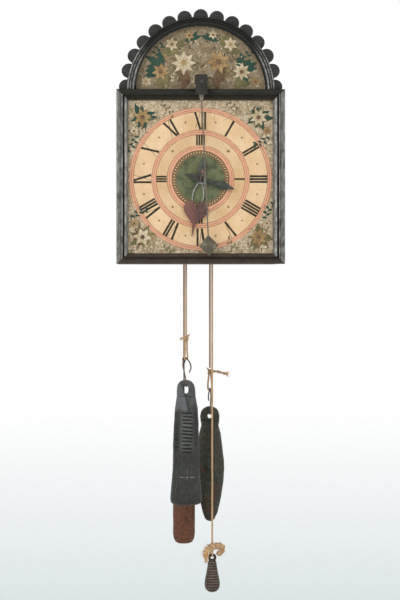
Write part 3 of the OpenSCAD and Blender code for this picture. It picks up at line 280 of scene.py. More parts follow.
def grained(name, tone, axis="z", contrast=0.45, roughness=0.62, dirt=0.35, worn=None, wear_and_highlight_mask=None, specular=0.4):
    """Wood whose grain runs along an axis."""
    f = Finish(name, roughness, specular=specular)
    fibres = f.noise(1.0, 5.0, 0.62, f.stretched(along(axis, 22.0, 520.0)))
    rings = f.noise(1.0, 2.0, 0.5, f.stretched(along(axis, 3.5, 60.0)), distortion=1.2)
    bands = (rings * 34.0).sin() * 0.5 + 0.5
    blotch = f.noise(28.0, 4.0, 0.6)
    light = 0.45 + 0.55 * bands.ramp(0.0, 1.0) * 0.55 + fibres * 0.5
    f.ground((light - 0.35) * 0.9, toned(tone, 1.0 - contrast), toned(tone, 1.0 + contrast))
    f.lay(blotch.ramp(0.45, 0.75) * dirt, toned(tone, 0.35))
    # The worn colour goes on over the mask: rubbed stain, and on the frame's rails and arch also painted highlight on
    # beads, coves and ridges.
    if worn is not None:
        scuff_and_highlight_noise = f.noise(240.0, 6.0, 0.7, f.stretched(along(axis, 0.3, 1.0)))
        mask = scuff_and_highlight_noise.ramp(0.4, 0.62) * 0.62 + 0.38 - blotch.ramp(0.52, 0.62) * 0.12
        f.lay(mask * (wear_and_highlight_mask(f) if wear_and_highlight_mask else 0.12), worn)
    pores = fibres.ramp(0.3, 0.42)
    return f.end(roughness + (fibres - 0.5) * 0.35 + blotch.ramp(0.5, 0.8) * 0.08, pores * 0.6 + bands * 0.25, 0.35,
                 0.0003)


def side_wear_and_highlight(f):
    """Where a side rail is paler: worn stain on its outer flat, and painted highlight on its bead and its inner cove.
    """
    depth = FRAME_HALF - f.parts()[0].abs()
    flat = depth.band(0.2, 6.6, 0.5) * 0.44 + depth.band(0.0, 1.6, 0.5) * 0.22
    cove = depth.band(12.8, 18.6, 0.7) * 0.64 + depth.band(13.4, 15.8, 0.6) * 0.5
    return (flat + depth.band(7.8, 9.2, 0.4) * 0.95 + cove).held()


def top_wear_and_highlight(f):
    # Paler bands on the top rail: worn stain on its flat, and painted highlight on its cove.
    depth = FRAME_TOP - f.parts()[2]
    return (depth.band(5.0, 11.0, 1.5) * 0.04 + depth.band(15.4, 17.0, 0.4) * 0.06).held()


def low_wear_and_highlight(f):
    # Paler bands on the bottom rail: worn stain along its outer edge, and painted highlight in its two inner bands.
    depth = f.parts()[2] - FRAME_LOW
    return (depth.band(0.4, 2.4, 0.6) * 0.1 + depth.band(5.4, 7.0, 0.4) * 0.14
            + depth.band(11.8, 15.8, 0.8) * 0.07).held()


def arch_wear_and_highlight(f):
    """Paler ridges of the half-ring moulding, most of all near its feet: painted highlight along the ridges, and a
    little worn stain over the ring and the scalloped board.
    """
    x, y, z = f.parts()
    up = z - ARCH_Z
    r = (x * x + up * up).sqrt()
    ridges = r.band(107.6, 109.4, 0.5) + r.band(112.6, 114.0, 0.4) * 0.7 + r.band(116.4, 118.0, 0.5) * 0.8
    low = x.abs().ramp(78.0, 112.0)
    return (ridges * (low * 0.95 + 0.06) + r.band(106.0, 119.0, 1.0) * low * 0.12
            + r.band(119.0, 133.0, 2.0) * 0.05).held()


def metal(name, tone, roughness, metallic, rust=None, rust_part=0.25, bump=0.25, scale=260.0):
    """Hand-worked metal with pits, and rust or dirt in patches."""
    f = Finish(name, roughness, metallic)
    grain = f.noise(scale, 6.0, 0.65)
    patch = f.noise(46.0, 5.0, 0.62)
    pits = f.cells(scale * 1.7)
    f.ground(grain.ramp(0.32, 0.7), toned(tone, 0.55), toned(tone, 1.45))
    shine = grain * 0.28 + roughness - 0.14
    gloss = metallic - patch * 0.1
    if rust is not None:
        mask = patch.ramp(0.6 - rust_part * 0.5, 0.68 - rust_part * 0.3)
        f.lay(mask * (0.55 + grain * 0.5), rust)
        shine = shine + mask * 0.25
        gloss = metallic * (1.0 - mask * 0.8)
    return f.end(shine, grain * 0.8 + pits.ramp(0.0, 0.5) * 0.5 + patch * 0.8, bump, 0.0006, gloss)


def hemp(name, tone, dark=0.45):
    """Twisted hemp: fine fibres, with painted shade in the hollows between the strands."""
    f = Finish(name, 0.9, 0.0, 0.15)
    fibres = f.noise(1.0, 4.0, 0.7, f.stretched((2600.0, 2600.0, 500.0), turn=(0.0, 0.5, 0.3)))
    f.ground(fibres.ramp(0.25, 0.75), toned(tone, dark), toned(tone, 1.35))
    f.lay(f.noise(55.0, 4.0, 0.6).ramp(0.42, 0.72) * 0.5, toned(tone, 0.55))
    # Painted shade in the hollows between strands, by their depth.
    f.lay(f.hollow() * 0.8, toned(tone, 0.28))
    return f.end(0.86 + fibres * 0.1, fibres, 0.5, 0.0003)


def paint(name, tone, other, roughness=0.6, worn=0.35):
    """Brushed paint that has rubbed thin, for numerals, flowers and leaves."""
    f = Finish(name, roughness, 0.0, 0.3)
    brush = f.noise(380.0, 5.0, 0.7)
    f.ground(f.noise(70.0, 4.0, 0.6).ramp(0.35, 0.68), tone, other)
    f.lay(brush.ramp(0.6, 0.8) * worn, (0.45, 0.33, 0.2))
    return f.end(roughness + brush * 0.2, brush, 0.2, 0.0002)


def dial_paint(name):
    """The painted dial on the front face of its board, and plain wood on the other faces."""
    c = colours()
    f = Finish(name, 0.62, 0.0, 0.35)
    x, y, z = f.parts()
    wobble = (f.noise(26.0, 2.0) - 0.5) * 0.9 + (f.noise(240.0, 2.0) - 0.5) * 0.5
    r = (x * x + z * z).sqrt() + wobble
    cream, green = c.cream_ring, c.centre_green
    stain = f.noise(20.0, 5.0, 0.62)
    foxing = f.noise(150.0, 5.0, 0.7)
    paper = f.mix(stain.ramp(0.35, 0.72), cream, toned(cream, 0.86, 0.78, 0.66))
    paper = f.mix(foxing.ramp(0.6, 0.78) * 0.35, paper, (0.42, 0.23, 0.11))
    paper = f.mix((r < 75.0) * 0.22, paper, (0.46, 0.29, 0.13))
    red = f.mix(f.noise(210.0, 5.0, 0.7).ramp(0.5, 0.76) * 0.55, c.red_ring, (0.8, 0.52, 0.34))
    red = f.mix(stain.ramp(0.5, 0.8) * 0.35, red, (0.46, 0.17, 0.1))

    # The border is a rope of crossing strands, 58 round
    turn, climb = z.angle(x) * (58.0 / (2.0 * math.pi)), (r - 39.0) * 0.13
    twist, strand = (turn + climb + 50.0).fract(), (turn - climb + 50.0).fract()
    border = f.mix(twist.band(0.0, 0.55, 0.1) * strand.band(0.0, 0.62, 0.1), (0.105, 0.062, 0.032), (0.52, 0.43, 0.2))
    border = f.mix(strand.band(0.55, 0.95, 0.08) * 0.4, border, (0.3, 0.12, 0.075))
    mottle = f.noise(60.0, 5.0, 0.65)
    moss = f.mix(mottle.ramp(0.38, 0.62), toned(green, 0.55, 0.6, 0.6), toned(green, 1.15, 1.2, 1.1))
    moss = f.mix(f.noise(24.0, 3.0).ramp(0.52, 0.7) * 0.6, moss, (0.185, 0.18, 0.085))

    # Corners: an aged printed sheet, under the flowers
    fine = f.noise(170.0, 6.0, 0.72, distortion=1.5)
    f.ground(f.noise(34.0, 5.0, 0.62).ramp(0.36, 0.66), (0.5, 0.38, 0.24), (0.3, 0.232, 0.13))
    f.lay(fine.ramp(0.48, 0.6) * 0.9, (0.78, 0.67, 0.5))
    f.lay(1.0 - fine.ramp(0.3, 0.42), (0.075, 0.055, 0.028))
    shift = f.node("TexNoise", {"Vector": f.place, "Scale": 30.0}, keep="Color")
    veins = f.cells(120.0, f.node("VectorMath", [f.place, shift], operation="ADD")[0], "DISTANCE_TO_EDGE")
    f.lay((1.0 - veins.ramp(0.01, 0.035)) * 0.6, (0.06, 0.045, 0.022))
    f.lay((z > 138.0) * 0.6, (0.11, 0.08, 0.038))

    # Rings from the outside in, and the drawn lines at their edges
    for edge, tone in ((114.3, red), (107.5, paper), (78.0, red), (71.3, paper), (53.6, red), (45.8, border),
                       (39.2, moss)):
        f.lay(r < edge, tone)
    lines = sum([r.band(edge - wide, edge + wide, 0.12) for edge, wide in
                 ((107.6, 0.44), (110.7, 0.34), (78.1, 0.42), (74.9, 0.3), (71.3, 0.42), (53.6, 0.42),
                  (50.4, 0.32), (45.8, 0.5), (39.2, 0.42), (114.3, 0.3))], 0.0 * r).held()
    fade = f.noise(90.0, 4.0).ramp(0.28, 0.55)
    f.lay(lines * (0.45 + 0.45 * fade), (0.19, 0.04, 0.028))
    crack = f.cells(34.0, f.stretched((1.0, 1.0, 0.35)), "DISTANCE_TO_EDGE")
    f.lay((1.0 - crack.ramp(0.0015, 0.006)) * fade * 0.35, (0.2, 0.12, 0.06))
    f.lay(f.noise(9.0, 3.0).ramp(0.55, 0.9) * 0.22, (0.16, 0.1, 0.05))

    # Plain wood on the faces that don't look forward
    wood = f.noise(1.0, 4.0, 0.6, f.stretched((30.0, 500.0, 500.0)))
    plain = f.mix(wood.ramp(0.3, 0.7), toned(c.plain_wood, 0.6), toned(c.plain_wood, 1.2))
    facing = f.node("SeparateXYZ", [f.node("NewGeometry", keep="Normal")])[1]
    f.colour = f.mix(facing < -0.5, plain, f.colour)
    return f.end(0.55 + foxing * 0.25, foxing * 0.6 + stain * 0.5 + lines * 0.3, 0.22, 0.0003)


# Making and placing pieces


def clear():
    if bpy.context.object and bpy.context.object.mode != "OBJECT":
        bpy.ops.object.mode_set(mode="OBJECT")
    bpy.ops.object.select_all(action="DESELECT")


def pick(obj):
    clear()
    obj.select_set(True)
    bpy.context.view_layer.objects.active = obj


def linked(name, mesh):
    """A new object in the scene that holds a mesh."""
    obj = bpy.data.objects.new(name, mesh)
    bpy.context.scene.collection.objects.link(obj)
    return obj


def settle(obj, name, finish, body, stands_for=()):
    """Applies the place, names the piece, gives it its finish and its body."""
    pick(obj)
    bpy.ops.object.transform_apply(location=True, rotation=True, scale=True)
    obj.name = obj.data.name = name
    obj.data.materials.clear()
    obj.data.materials.append(finish)
    if stands_for:
        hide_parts(*stands_for)
    if body:
        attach(obj, body)
    return obj


def in_place_of(node, obj, finish, ending):
    """Settles a piece that takes the place of a CAD node."""
    return settle(obj, node + ending, finish, BODY_OF[node], [node])


def add_modifier(obj, kind, **values):
    made = obj.modifiers.new(kind.title(), kind)
    for key, value in values.items():
        setattr(made, key, value)


def apply_all(obj):
    pick(obj)
    for made in list(obj.modifiers):
        bpy.ops.object.modifier_apply(modifier=made.name)


def merged_copy(node, flatten=False):
    """A copy of a CAD node with its loose triangles joined."""
    obj = linked(node + "_copy", NODES[node].data.copy())
    pick(obj)
    bpy.ops.object.mode_set(mode="EDIT")
    bpy.ops.mesh.select_all(action="SELECT")
    bpy.ops.mesh.remove_doubles(threshold=0.000004)
    if flatten:
        bpy.ops.mesh.dissolve_limited(angle_limit=math.radians(0.6))
    bpy.ops.object.mode_set(mode="OBJECT")
    return obj


def dress(node, finish, bevel=0.0, smooth=32.0):
    """A CAD node's own shape with soft edges, in place of the node."""
    obj = merged_copy(node, flatten=bevel > 0)
    if bevel:
        add_modifier(obj, "BEVEL", width=bevel * MM, segments=2, limit_method="ANGLE", angle_limit=math.radians(38),
                     harden_normals=False)
        apply_all(obj)
    pick(obj)
    bpy.ops.object.shade_smooth_by_angle(angle=math.radians(smooth))
    return in_place_of(node, obj, finish, "_dressed")


def forged(node, finish, voxel, waves, strength, fine=0.0, soften=2):
    """A CAD node's shape as rough forged metal: remeshed, then pushed in and out a little."""
    obj = merged_copy(node)
    add_modifier(obj, "REMESH", mode="VOXEL", voxel_size=voxel * MM)
    add_modifier(obj, "SMOOTH", factor=0.5, iterations=soften)
    for size, push in ((waves, strength), (waves * 0.22, fine)):
        clouds = bpy.data.textures.new(node + "_clouds", "CLOUDS")
        clouds.noise_scale = size * MM
        clouds.noise_depth = 2
        add_modifier(obj, "DISPLACE", texture=clouds, strength=push * MM, mid_level=0.5, texture_coords="LOCAL")
    apply_all(obj)
    pick(obj)
    bpy.ops.object.shade_smooth()
    return in_place_of(node, obj, finish, "_forged")


def joined(objects):
    clear()
    for obj in objects:
        obj.select_set(True)
    bpy.context.view_layer.objects.active = objects[0]
    if len(objects) > 1:
        bpy.ops.object.join()
    return objects[0]


def stamped(source, places):
    """Copies of a mesh object at each place, joined to one object. The source goes."""
    copies = []
    for place in places:
        obj = linked(source.name, source.data.copy())
        obj.data.transform(place)
        copies.append(obj)
    bpy.data.objects.remove(source)
    return joined(copies)


def flat_shape(points, thick):
    """A thin flat piece in the plane of the dial, from points in millimetres, with its back at zero depth.

    It starts as a round plate whose rim is then moved to the outline."""
    clear()
    bpy.ops.mesh.primitive_circle_add(vertices=len(points), radius=1.0, fill_type="NGON", enter_editmode=True,
                                      rotation=(math.pi / 2, 0, 0))
    bpy.ops.mesh.extrude_region_move(TRANSFORM_OT_translate={"value": (0, -thick * MM, 0)})
    bpy.ops.mesh.select_all(action="SELECT")
    bpy.ops.mesh.normals_make_consistent(inside=False)
    bpy.ops.object.mode_set(mode="OBJECT")
    obj = bpy.context.object
    bpy.ops.object.transform_apply(location=True, rotation=True, scale=True)
    deep = min(vertex.co.y for vertex in obj.data.vertices) / 2
    for layer in (True, False):
        rim = [v for v in obj.data.vertices if (v.co.y > deep) == layer]
        rim.sort(key=lambda v: math.atan2(v.co.z, v.co.x))
        for vertex, (u, v) in zip(rim, points):
            vertex.co = (u * MM, vertex.co.y, v * MM)
    return obj


def smooth_path(points, steps=6):
    """Points along a smooth curve through the given ones."""
    p = [Vector(q) for q in points]
    p = [p[0] * 2 - p[1]] + p + [p[-1] * 2 - p[-2]]
    out = []
    for i in range(1, len(p) - 2):
        a, b, c, d = p[i - 1:i + 3]
        for k in range(steps):
            t = k / steps
            out.append(0.5 * (2 * b + (c - a) * t + (2 * a - 5 * b + 4 * c - d) * t * t
                              + (3 * b - a - 3 * c + d) * t ** 3))
    return out + [p[-2]]


def even_path(points, step):
    """The same path with points a step apart."""
    long = sum((b - a).length for a, b in zip(points, points[1:]))
    count = max(2, round(long / step))
    out, walked, i = [points[0].copy()], 0.0, 0
    for k in range(1, count):
        goal = long * k / count
        while walked + (points[i + 1] - points[i]).length < goal:
            walked += (points[i + 1] - points[i]).length
            i += 1
        part = (goal - walked) / (points[i + 1] - points[i]).length
        out.append(points[i].lerp(points[i + 1], part))
    return out + [points[-1].copy()]


def path_at(points, steps=6):
    return smooth_path([at(*p) for p in points], steps)


def near(middle, offsets):
    """Points in millimetres from their offsets to a middle."""
    return [tuple(m + d for m, d in zip(middle, offset)) for offset in offsets]


def around(middle, radius, low, high, turns, start=0.0, lean=0.0):
    """Points of a coil about an upright line, between two heights from its middle, in millimetres."""
    total = max(4, round(turns * 14))
    x, y, z = middle
    low, high = z + low, z + high
    points = []
    for i in range(total + 1):
        turn = start + 2 * math.pi * turns * i / total
        points.append((x + radius * math.cos(turn), y + radius * math.sin(turn),
                       high + (low - high) * i / total + lean * math.cos(turn)))
    return points


def tube(name, points, shape, sides):
    """A closed tube along points. shape is a radius in metres, or shape(turn, part, walked) gives one for each
    side, with the depth of the hollow there."""
    made, hollows, faces = [], [], []
    side = None
    walked = 0.0
    for i, point in enumerate(points):
        ahead = (points[min(i + 1, len(points) - 1)] - points[max(i - 1, 0)]).normalized()
        if side is None:
            side = ahead.orthogonal().normalized()
        side = (side - ahead * side.dot(ahead)).normalized()
        up = ahead.cross(side)
        if i:
            walked += (point - points[i - 1]).length
        for k in range(sides):
            turn = 2 * math.pi * k / sides
            radius, hollow = shape(turn, i / (len(points) - 1), walked) if callable(shape) else (shape, 0.0)
            made.append(point + radius * (side * math.cos(turn) + up * math.sin(turn)))
            hollows.append(hollow)
    for i in range(len(points) - 1):
        for k in range(sides):
            a, b = i * sides + k, i * sides + (k + 1) % sides
            faces.append((a, b, b + sides, a + sides))
    faces.append(tuple(reversed(range(sides))))
    faces.append(tuple(range(len(made) - sides, len(made))))
    mesh = bpy.data.meshes.new(name)
    mesh.from_pydata(made, [], faces)
    mesh.attributes.new("hollow", "FLOAT", "POINT").data.foreach_set("value", hollows)
    mesh.shade_smooth()
    return linked(name, mesh)


def rope_shape(radius, lay, plies=3, phase=0.0):
    """The outline of strands twisted together, with the depth of the hollows between them."""
    away, own = 0.46 * radius, 0.54 * radius

    def shape(turn, part, walked):
        local = (turn - phase - 2 * math.pi * walked / lay) % (2 * math.pi / plies) - math.pi / plies
        reach = away * math.cos(local) + math.sqrt(own * own - (away * math.sin(local)) ** 2)
        return reach, max(0.0, (radius - reach) / (0.4 * radius))
    return shape


def rope(name, points, radius, lay, sides=18, phase=0.0):
    """A twisted rope along points in metres."""
    return tube(name, even_path([Vector(p) for p in points], lay / 13), rope_shape(radius, lay, phase=phase), sides)


def frayed(start, heads, count, long, spread, seed, thick=0.16):
    """Loose fibres that fan out from a point, each a fine tapering tube."""
    dice = random.Random(seed)
    strands = []
    for _ in range(count):
        head = Vector(dice.choice(heads)).normalized()
        drift = Vector([dice.uniform(-1, 1) for _ in range(3)]) * spread
        drop = Vector((0, 0, -1)) * dice.uniform(0.0, 0.5)
        reach = long * dice.uniform(0.55, 1.0)
        base = start + Vector([dice.uniform(-0.6, 0.6) for _ in range(3)]) * MM
        curve = [base + (head * t + (drift + drop) * t * t) * reach * MM for t in (0.0, 0.22, 0.45, 0.7, 1.0)]
        size = thick * dice.uniform(0.7, 1.3) * MM
        strands.append(tube("hair", curve, lambda turn, part, walked: (size * (1.15 - part), 0.25), 4))
    return joined(strands)


# Stage and cords


class CLOCK_OT_stage(bpy.types.Operator):
    """Floor, soft lamps, pale background and the camera at the photograph's angle"""
    bl_idname = "clock.stage"
    bl_label = "Stage"

    def execute(self, context):
        stage, scene = context.scene.clock_stage, context.scene
        clear()
        bpy.ops.mesh.primitive_circle_add(vertices=96, radius=1.7, fill_type="NGON", location=(0, -0.75, -1.32))
        floor = bpy.context.object
        bpy.ops.object.transform_apply(location=True, rotation=True, scale=True)
        floor.name = "floor"
        cover = Finish("floor_paint", roughness=0.75, specular=0.3)
        tone = cover.noise(6, detail=3)
        cover.ground(tone, shade("D9DADA"), shade("E4E4E3"))
        floor.data.materials.append(cover.end(0.7 + 0.1 * tone, tone, 0.1, 0.001))

        target = Vector(at(-1.6, -191, -193.8))
        turn = stage.azimuth
        camera = linked("camera", bpy.data.cameras.new("camera"))
        camera.location = target + stage.distance * Vector((math.sin(turn), -math.cos(turn), 0))
        camera.rotation_euler = (math.pi / 2, 0, turn)
        camera.data.sensor_fit = "VERTICAL"
        camera.data.angle = 2 * math.atan(0.48 / stage.distance)
        scene.camera = camera
        for name, place, size, share in (("key_lamp", (-1.5, -2.0, 1.2), 1.3, 1.0),
                                         ("fill_lamp", (1.9, -1.5, 0.1), 1.5, 0.36),
                                         ("back_lamp", (0.6, 2.1, 0.9), 1.4, 0.6)):
            lamp = linked(name, bpy.data.lights.new(name, "AREA"))
            lamp.data.size, lamp.data.energy = size, stage.key * share
            lamp.location = target + Vector(place)
            lamp.rotation_euler = (-Vector(place)).to_track_quat("-Z", "Y").to_euler()
        scene.world = self.pale_room(stage.world)
        scene.view_settings.view_transform = "Standard"
        return {"FINISHED"}

    def pale_room(self, strength):
        """White above and pale blue-grey below for what the camera sees, and even light for the rest."""
        world = bpy.data.worlds.new("pale_room")
        world.use_nodes = True
        room = Graph(world.node_tree)
        room.tree.nodes.clear()
        height = room.node("SeparateXYZ", [room.node("TexCoord", keep="Generated")])[2]
        rise = room.node("MapRange", [height, -0.045, -0.016, 0.0, 1.0])[0]
        seen = room.node("Background", [room.mix(rise, shade("DBE3E4"), shade("FFFFFF"))])[0]
        lit = room.node("Background", [shade("FBFBF8"), strength])[0]
        camera, glossy, through = (room.node("LightPath", keep="Is %s Ray" % kind)
                                   for kind in ("Camera", "Glossy", "Transmission"))
        both = room.node("MixShader", [camera.most(glossy).most(through), lit, seen])[0]
        room.add("OutputWorld", [both])
        return world


class CLOCK_OT_ropes(bpy.types.Operator):
    """Four strands of twisted hemp, the turns on the pulleys, and the knots and frayed ends"""
    bl_idname = "clock.ropes"
    bl_label = "Ropes and knots"

    def execute(self, context):
        sizes, c = context.scene.clock_sizes, colours()
        self.radius, self.lay = sizes.rope / 2, sizes.lay
        tan = hemp("tan_hemp", c.hemp)
        grey = hemp("grey_hemp", toned(c.hemp, 0.66, 0.66, 0.68))
        self.frays = hemp("frayed_hemp", toned(c.hemp, 1.12, 1.06, 0.92), dark=0.7)

        for name, y, z in (("going_wrap", GOING_Y, GREAT_Z), ("strike_wrap", STRIKE_Y, STRIKE_Z)):
            arc = [(ROPE_R * math.cos(math.pi * i / 30), y, z + ROPE_R * math.sin(math.pi * i / 30)) for i in range(31)]
            settle(rope(name, path_at(arc, 1), self.radius, self.lay), name, tan, "case", ["rope_wraps"])

        knots = {"going": self.going(tan), "strike": self.strike(grey), "pear": self.pear(tan)}
        for name, x, y, top, low, body, finish, end, held in (
                ("going_rope", -ROPE_R, GOING_Y, GREAT_Z, GOING_END, "going_weight", tan, "knot", knots["going"]),
                ("pear_rope", ROPE_R, GOING_Y, GREAT_Z, PEAR_END, "pear", tan, "knot", knots["pear"]),
                ("strike_rope", ROPE_R, STRIKE_Y, STRIKE_Z, STRIKE_END, "strike_weight", grey, "knot", knots["strike"]),
                ("counter_rope", -ROPE_R, STRIKE_Y, STRIKE_Z, COUNTER_END, "counterweight", grey, "fitting",
                 [self.wire_eye()])):
            path = [at(x, y, top + (low - top) * i / 24) for i in range(25)]
            strand = settle(rope(name, path, self.radius, self.lay), name + "_hemp", finish, None, [name])
            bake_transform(strand)
            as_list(held)
        return {"FINISHED"}

    def strand(self, middle, points, thick=1.0, lay=1.0, **more):
        """A rope through points in millimetres from a middle. thick and lay are shares of the long ropes' own."""
        return rope("strand", path_at(near(middle, points)), self.radius * thick, self.lay * lay, **more)

    def coil(self, middle, radius, low, high, turns, start, lean, thick=1.0, lay=1.0):
        return rope("coil", path_at(around(middle, radius, low, high, turns, start, lean)), self.radius * thick,
                    self.lay * lay)

    def knot(self, name, body, finish, solid, loose):
        """The two pieces of a knot: its rope, in place of the CAD one, and its frayed ends."""
        return [settle(joined(solid), name + "_hemp", finish, body, [name]),
                settle(joined(loose), name + "_hair", self.frays, body)]

    def wire_eye(self):
        """The counterweight's straight wire, and the eye that its end makes round the rope."""
        middle = (-ROPE_R, STRIKE_Y, COUNTER_END)
        finish = metal("shank_wire", (0.105, 0.085, 0.07), 0.5, 0.75, (0.16, 0.075, 0.045), 0.4, 0.15)
        shank = tube("shank", path_at(near(middle, [(0, 0, -182.0), (0, 0, -114.0), (0, 0, -14.0), (0, 0, -9.0)]), 8),
                     0.0011, 14)
        settle(shank, "counterweight_wire", finish, "counterweight")
        turns = tube("turns", path_at(around(middle, 2.2, -9.0, -0.6, 3.4, -1.2), 3), 0.0008, 10)
        return settle(turns, "counterweight_eye", finish, "counterweight")

    def going(self, tan):
        """An overhand knot with a short stub, over a loop whose legs lie close."""
        m = (-ROPE_R, GOING_Y, GOING_END)
        solid = [
            self.coil(m, 2.9, -8.6, -1.6, 2.15, 0.6, 0.8, 0.94, 0.9),
            self.strand(m, [(-3, -1.5, -7.6), (-1.4, -3.6, -5.4), (0.8, -3.9, -3), (2.9, -2.2, -1.4),
                            (4.3, -0.6, -0.6)], 0.94, 0.9),
            self.strand(m, [(-1.5, -1.2, -6), (-3.8, -2, -5), (-5.2, -2.1, -4.8), (-6.3, -2, -5.2)], 0.94 * 1.15, 0.8),
            self.strand(m, [(-1.4, 0, -5), (-1.6, -0.2, -11), (-1.6, -0.2, -20), (-1.75, 0, -28), (-2.4, 0, -36),
                            (-1.5, 0, -38.9), (0, 0, -39.6), (1.5, 0, -38.9), (2.4, 0, -36), (1.75, 0, -28),
                            (1.6, 0.2, -20), (1.5, 0.2, -11), (1.2, 0, -5)], 0.94)]
        hair = frayed(at(*near(m, [(-6.2, -2, -5.2)])[0]), [(-1, -0.2, -0.25), (-1, 0.1, 0.2), (-0.8, -0.3, -0.7)],
                      80, 4.6, 0.4, 3, 0.26)
        more = frayed(at(*near(m, [(4.4, -0.6, -0.8)])[0]), [(1, -0.3, 0.6), (0.8, 0.2, 0.9)], 30, 2.8, 0.4, 5, 0.24)
        return self.knot("going_knot", "going_weight", tan, solid, [hair, more])

    def strike(self, grey):
        """A knot with a long two-ply tail to the right, over an open loop."""
        m = (ROPE_R, STRIKE_Y, STRIKE_END)
        solid = [
            self.coil((m[0] + 0.3, m[1], m[2]), 2.8, -8.8, -1.8, 2.2, 2.4, 0.7, 0.92, 0.9),
            self.strand(m, [(-3.8, -1.4, -1), (-1.8, -3.4, -2.6), (0.6, -4.2, -4.6), (2.8, -3, -6.6), (4, -1, -7.6)],
                        0.92, 0.9),
            self.strand(m, [(-0.9, 0, -6), (-1.6, 0, -11), (-2.9, 0, -22), (-3.2, 0, -31), (-2.2, 0, -34.9),
                            (0, 0, -35.7), (2.2, 0, -34.9), (3.1, 0, -31), (2.6, 0, -22), (1.5, 0, -11), (0.9, 0, -6)],
                        0.92)]
        for shift, phase in ((1.2, 0.0), (-1.2, math.pi)):
            line = [(2 + 3.4 * i, -1.4 - 0.5 * math.sin(0.4 * i) + 0.7 * math.cos(1.1 * i + phase),
                     -6.4 + 2.2 * math.sin(0.62 * i) * (1 - i / 12) - 0.25 * i + shift * math.sin(1.1 * i + 0.6))
                    for i in range(8)]
            solid.append(self.strand(m, line, 0.92 * 0.8, 0.7, sides=12, phase=phase))
        tufts = [((24.4, -2.2, -8.4), [(1, 0, 0.1), (1, -0.2, -0.5), (1, 0.2, 0.5)], 110, 7.5, 0.45, 7, 0.28),
                 ((-3.9, -1.4, -1), [(-1, -0.2, 0.9), (-0.7, 0, 1)], 26, 3.4, 0.35, 9)]
        tufts += [((6 + 2.8 * i, -1.8, -6 - 0.4 * i), [(0.6, -0.6, 1), (0.6, -0.3, -1)], 10, 3.2, 0.5, 20 + i, 0.24)
                  for i in range(6)]
        loose = [frayed(at(*near(m, [place])[0]), *rest) for place, *rest in tufts]
        return self.knot("strike_knot", "strike_weight", grey, solid, loose)

    def pear(self, tan):
        """A thick opened end that turns over to the right, and a brush of fibres down to the left."""
        m = (ROPE_R, GOING_Y, PEAR_END)
        x, y, z = m
        bulk = [(-5.4, -4.4, -8.6), (-1.4, -4.8, -5.6), (4, -4.4, -4.4), (11, -3.2, -4.2), (15.8, -1.6, -7.4),
                (15.8, -0.4, -12.4), (11.6, -0.6, -16.2), (8.4, -1.4, -14.6)]
        solid = [
            self.coil(m, 2.7, -6.5, -1.2, 2.1, 1.0, 0.5),
            tube("bulk", even_path(path_at(near(m, bulk)), 0.0009), self.bundle, 24),
            self.strand(m, [(10.4, -4, -9), (4.5, -6.4, -8.6), (-1, -6.6, -9.6), (-3.6, -5.8, -13.6),
                            (-3.8, -3.4, -17)], 1.15, 1.2),
            self.strand(m, [(-1.5, -4.4, -8), (-0.6, -6, -14.4), (0, -6.3, -17.6), (0, -4.6, -20.4), (0, 0, -21.2),
                            (0, 4.6, -20.4), (0, 6.3, -17.6), (0.6, 6, -14.4), (1.5, 3.4, -8)], 0.86)]
        dice = random.Random(51)
        brush = []
        for _ in range(170):
            out, front, low = dice.uniform(-3.2, 3.4), dice.uniform(-3.0, 2.6), dice.uniform(-4.0, 5.0)
            line = [(x + 3.0 + dice.uniform(-2, 2), y - 3.6 + front * 0.4, z - 4.6 + out * 0.5),
                    (x - 2.2 - out * 0.4, y - 4.4 + front * 0.8, z - 5.4 + out * 0.8),
                    (x - 7.0 - out * 0.7, y - 4.2 + front, z - 9.4 + out * 0.6),
                    (x - 9.6 - out, y - 3.4 + front, z - 16.0),
                    (x - 9.8 - out * 1.3 + dice.uniform(-1.2, 1.2), y - 2.6 + front, z - 22.5 + low)]
            size = dice.uniform(0.30, 0.52) * MM
            # The second number darkens each fibre towards its root: painted shade where the fibres bunch.
            brush.append(tube("fibre", path_at(line, 3), lambda turn, part, walked:
                              (size * (1.2 - 0.9 * part * part), 0.12 + 0.3 * (1.0 - part)), 5))
        loose = [joined(brush),
                 frayed(at(x - 9.3, y - 2.7, z - 24.6), [(-0.3, 0, -1), (0.25, -0.2, -1), (-0.7, 0.1, -0.8)], 90, 7.0,
                        0.35, 31, 0.28),
                 frayed(at(x + 8.6, y - 1.4, z - 14.8), [(-0.8, -0.4, 0.4), (-0.6, 0, -0.6)], 26, 4.0, 0.4, 33)]
        for i, (u, w) in enumerate(((-11.5, -17), (-11, -12), (-8.6, -8), (-5, -4.4), (0.5, -2), (6, -1.6), (12, -2.4),
                                    (17, -6.4), (18, -12))):
            away = Vector((u - 3, -0.9, w + 13)).normalized()
            heads = [away, away + Vector((0.3, -0.5, 0.2)), away + Vector((-0.4, -0.2, -0.5))]
            loose.append(frayed(at(x + u * 0.94, y - 4.0, z + w), heads, 34, 8.0 - 0.45 * i, 0.5, 40 + i, 0.3))
        return self.knot("pear_knot", "pear", tan, solid, loose)

    def bundle(self, turn, part, walked):
        """A rope end that has opened out: strands that part and come together."""
        swell = 1.0 + 0.2 * math.sin(part * 15.0) + 0.1 * math.sin(part * 41.0 + 2 * turn)
        taper = 0.62 + 0.38 * math.sin(math.pi * min(1.0, 0.12 + part * 0.86)) ** 0.6
        reach, hollow = rope_shape(0.005 * swell * taper, self.lay * 2.6, plies=5)(turn, part, walked)
        fine = math.sin(23 * turn + 900 * walked) * 0.00012
        return reach + fine, max(hollow, 0.35 + fine * 3000)


# Hooks and weights


def crease(x, z):
    """How far a place is to the right of the ridge on the going weight's shoulder. x is from its middle line."""
    return x + CREASE_X + (z + CREASE_Z) * CREASE_SLOPE


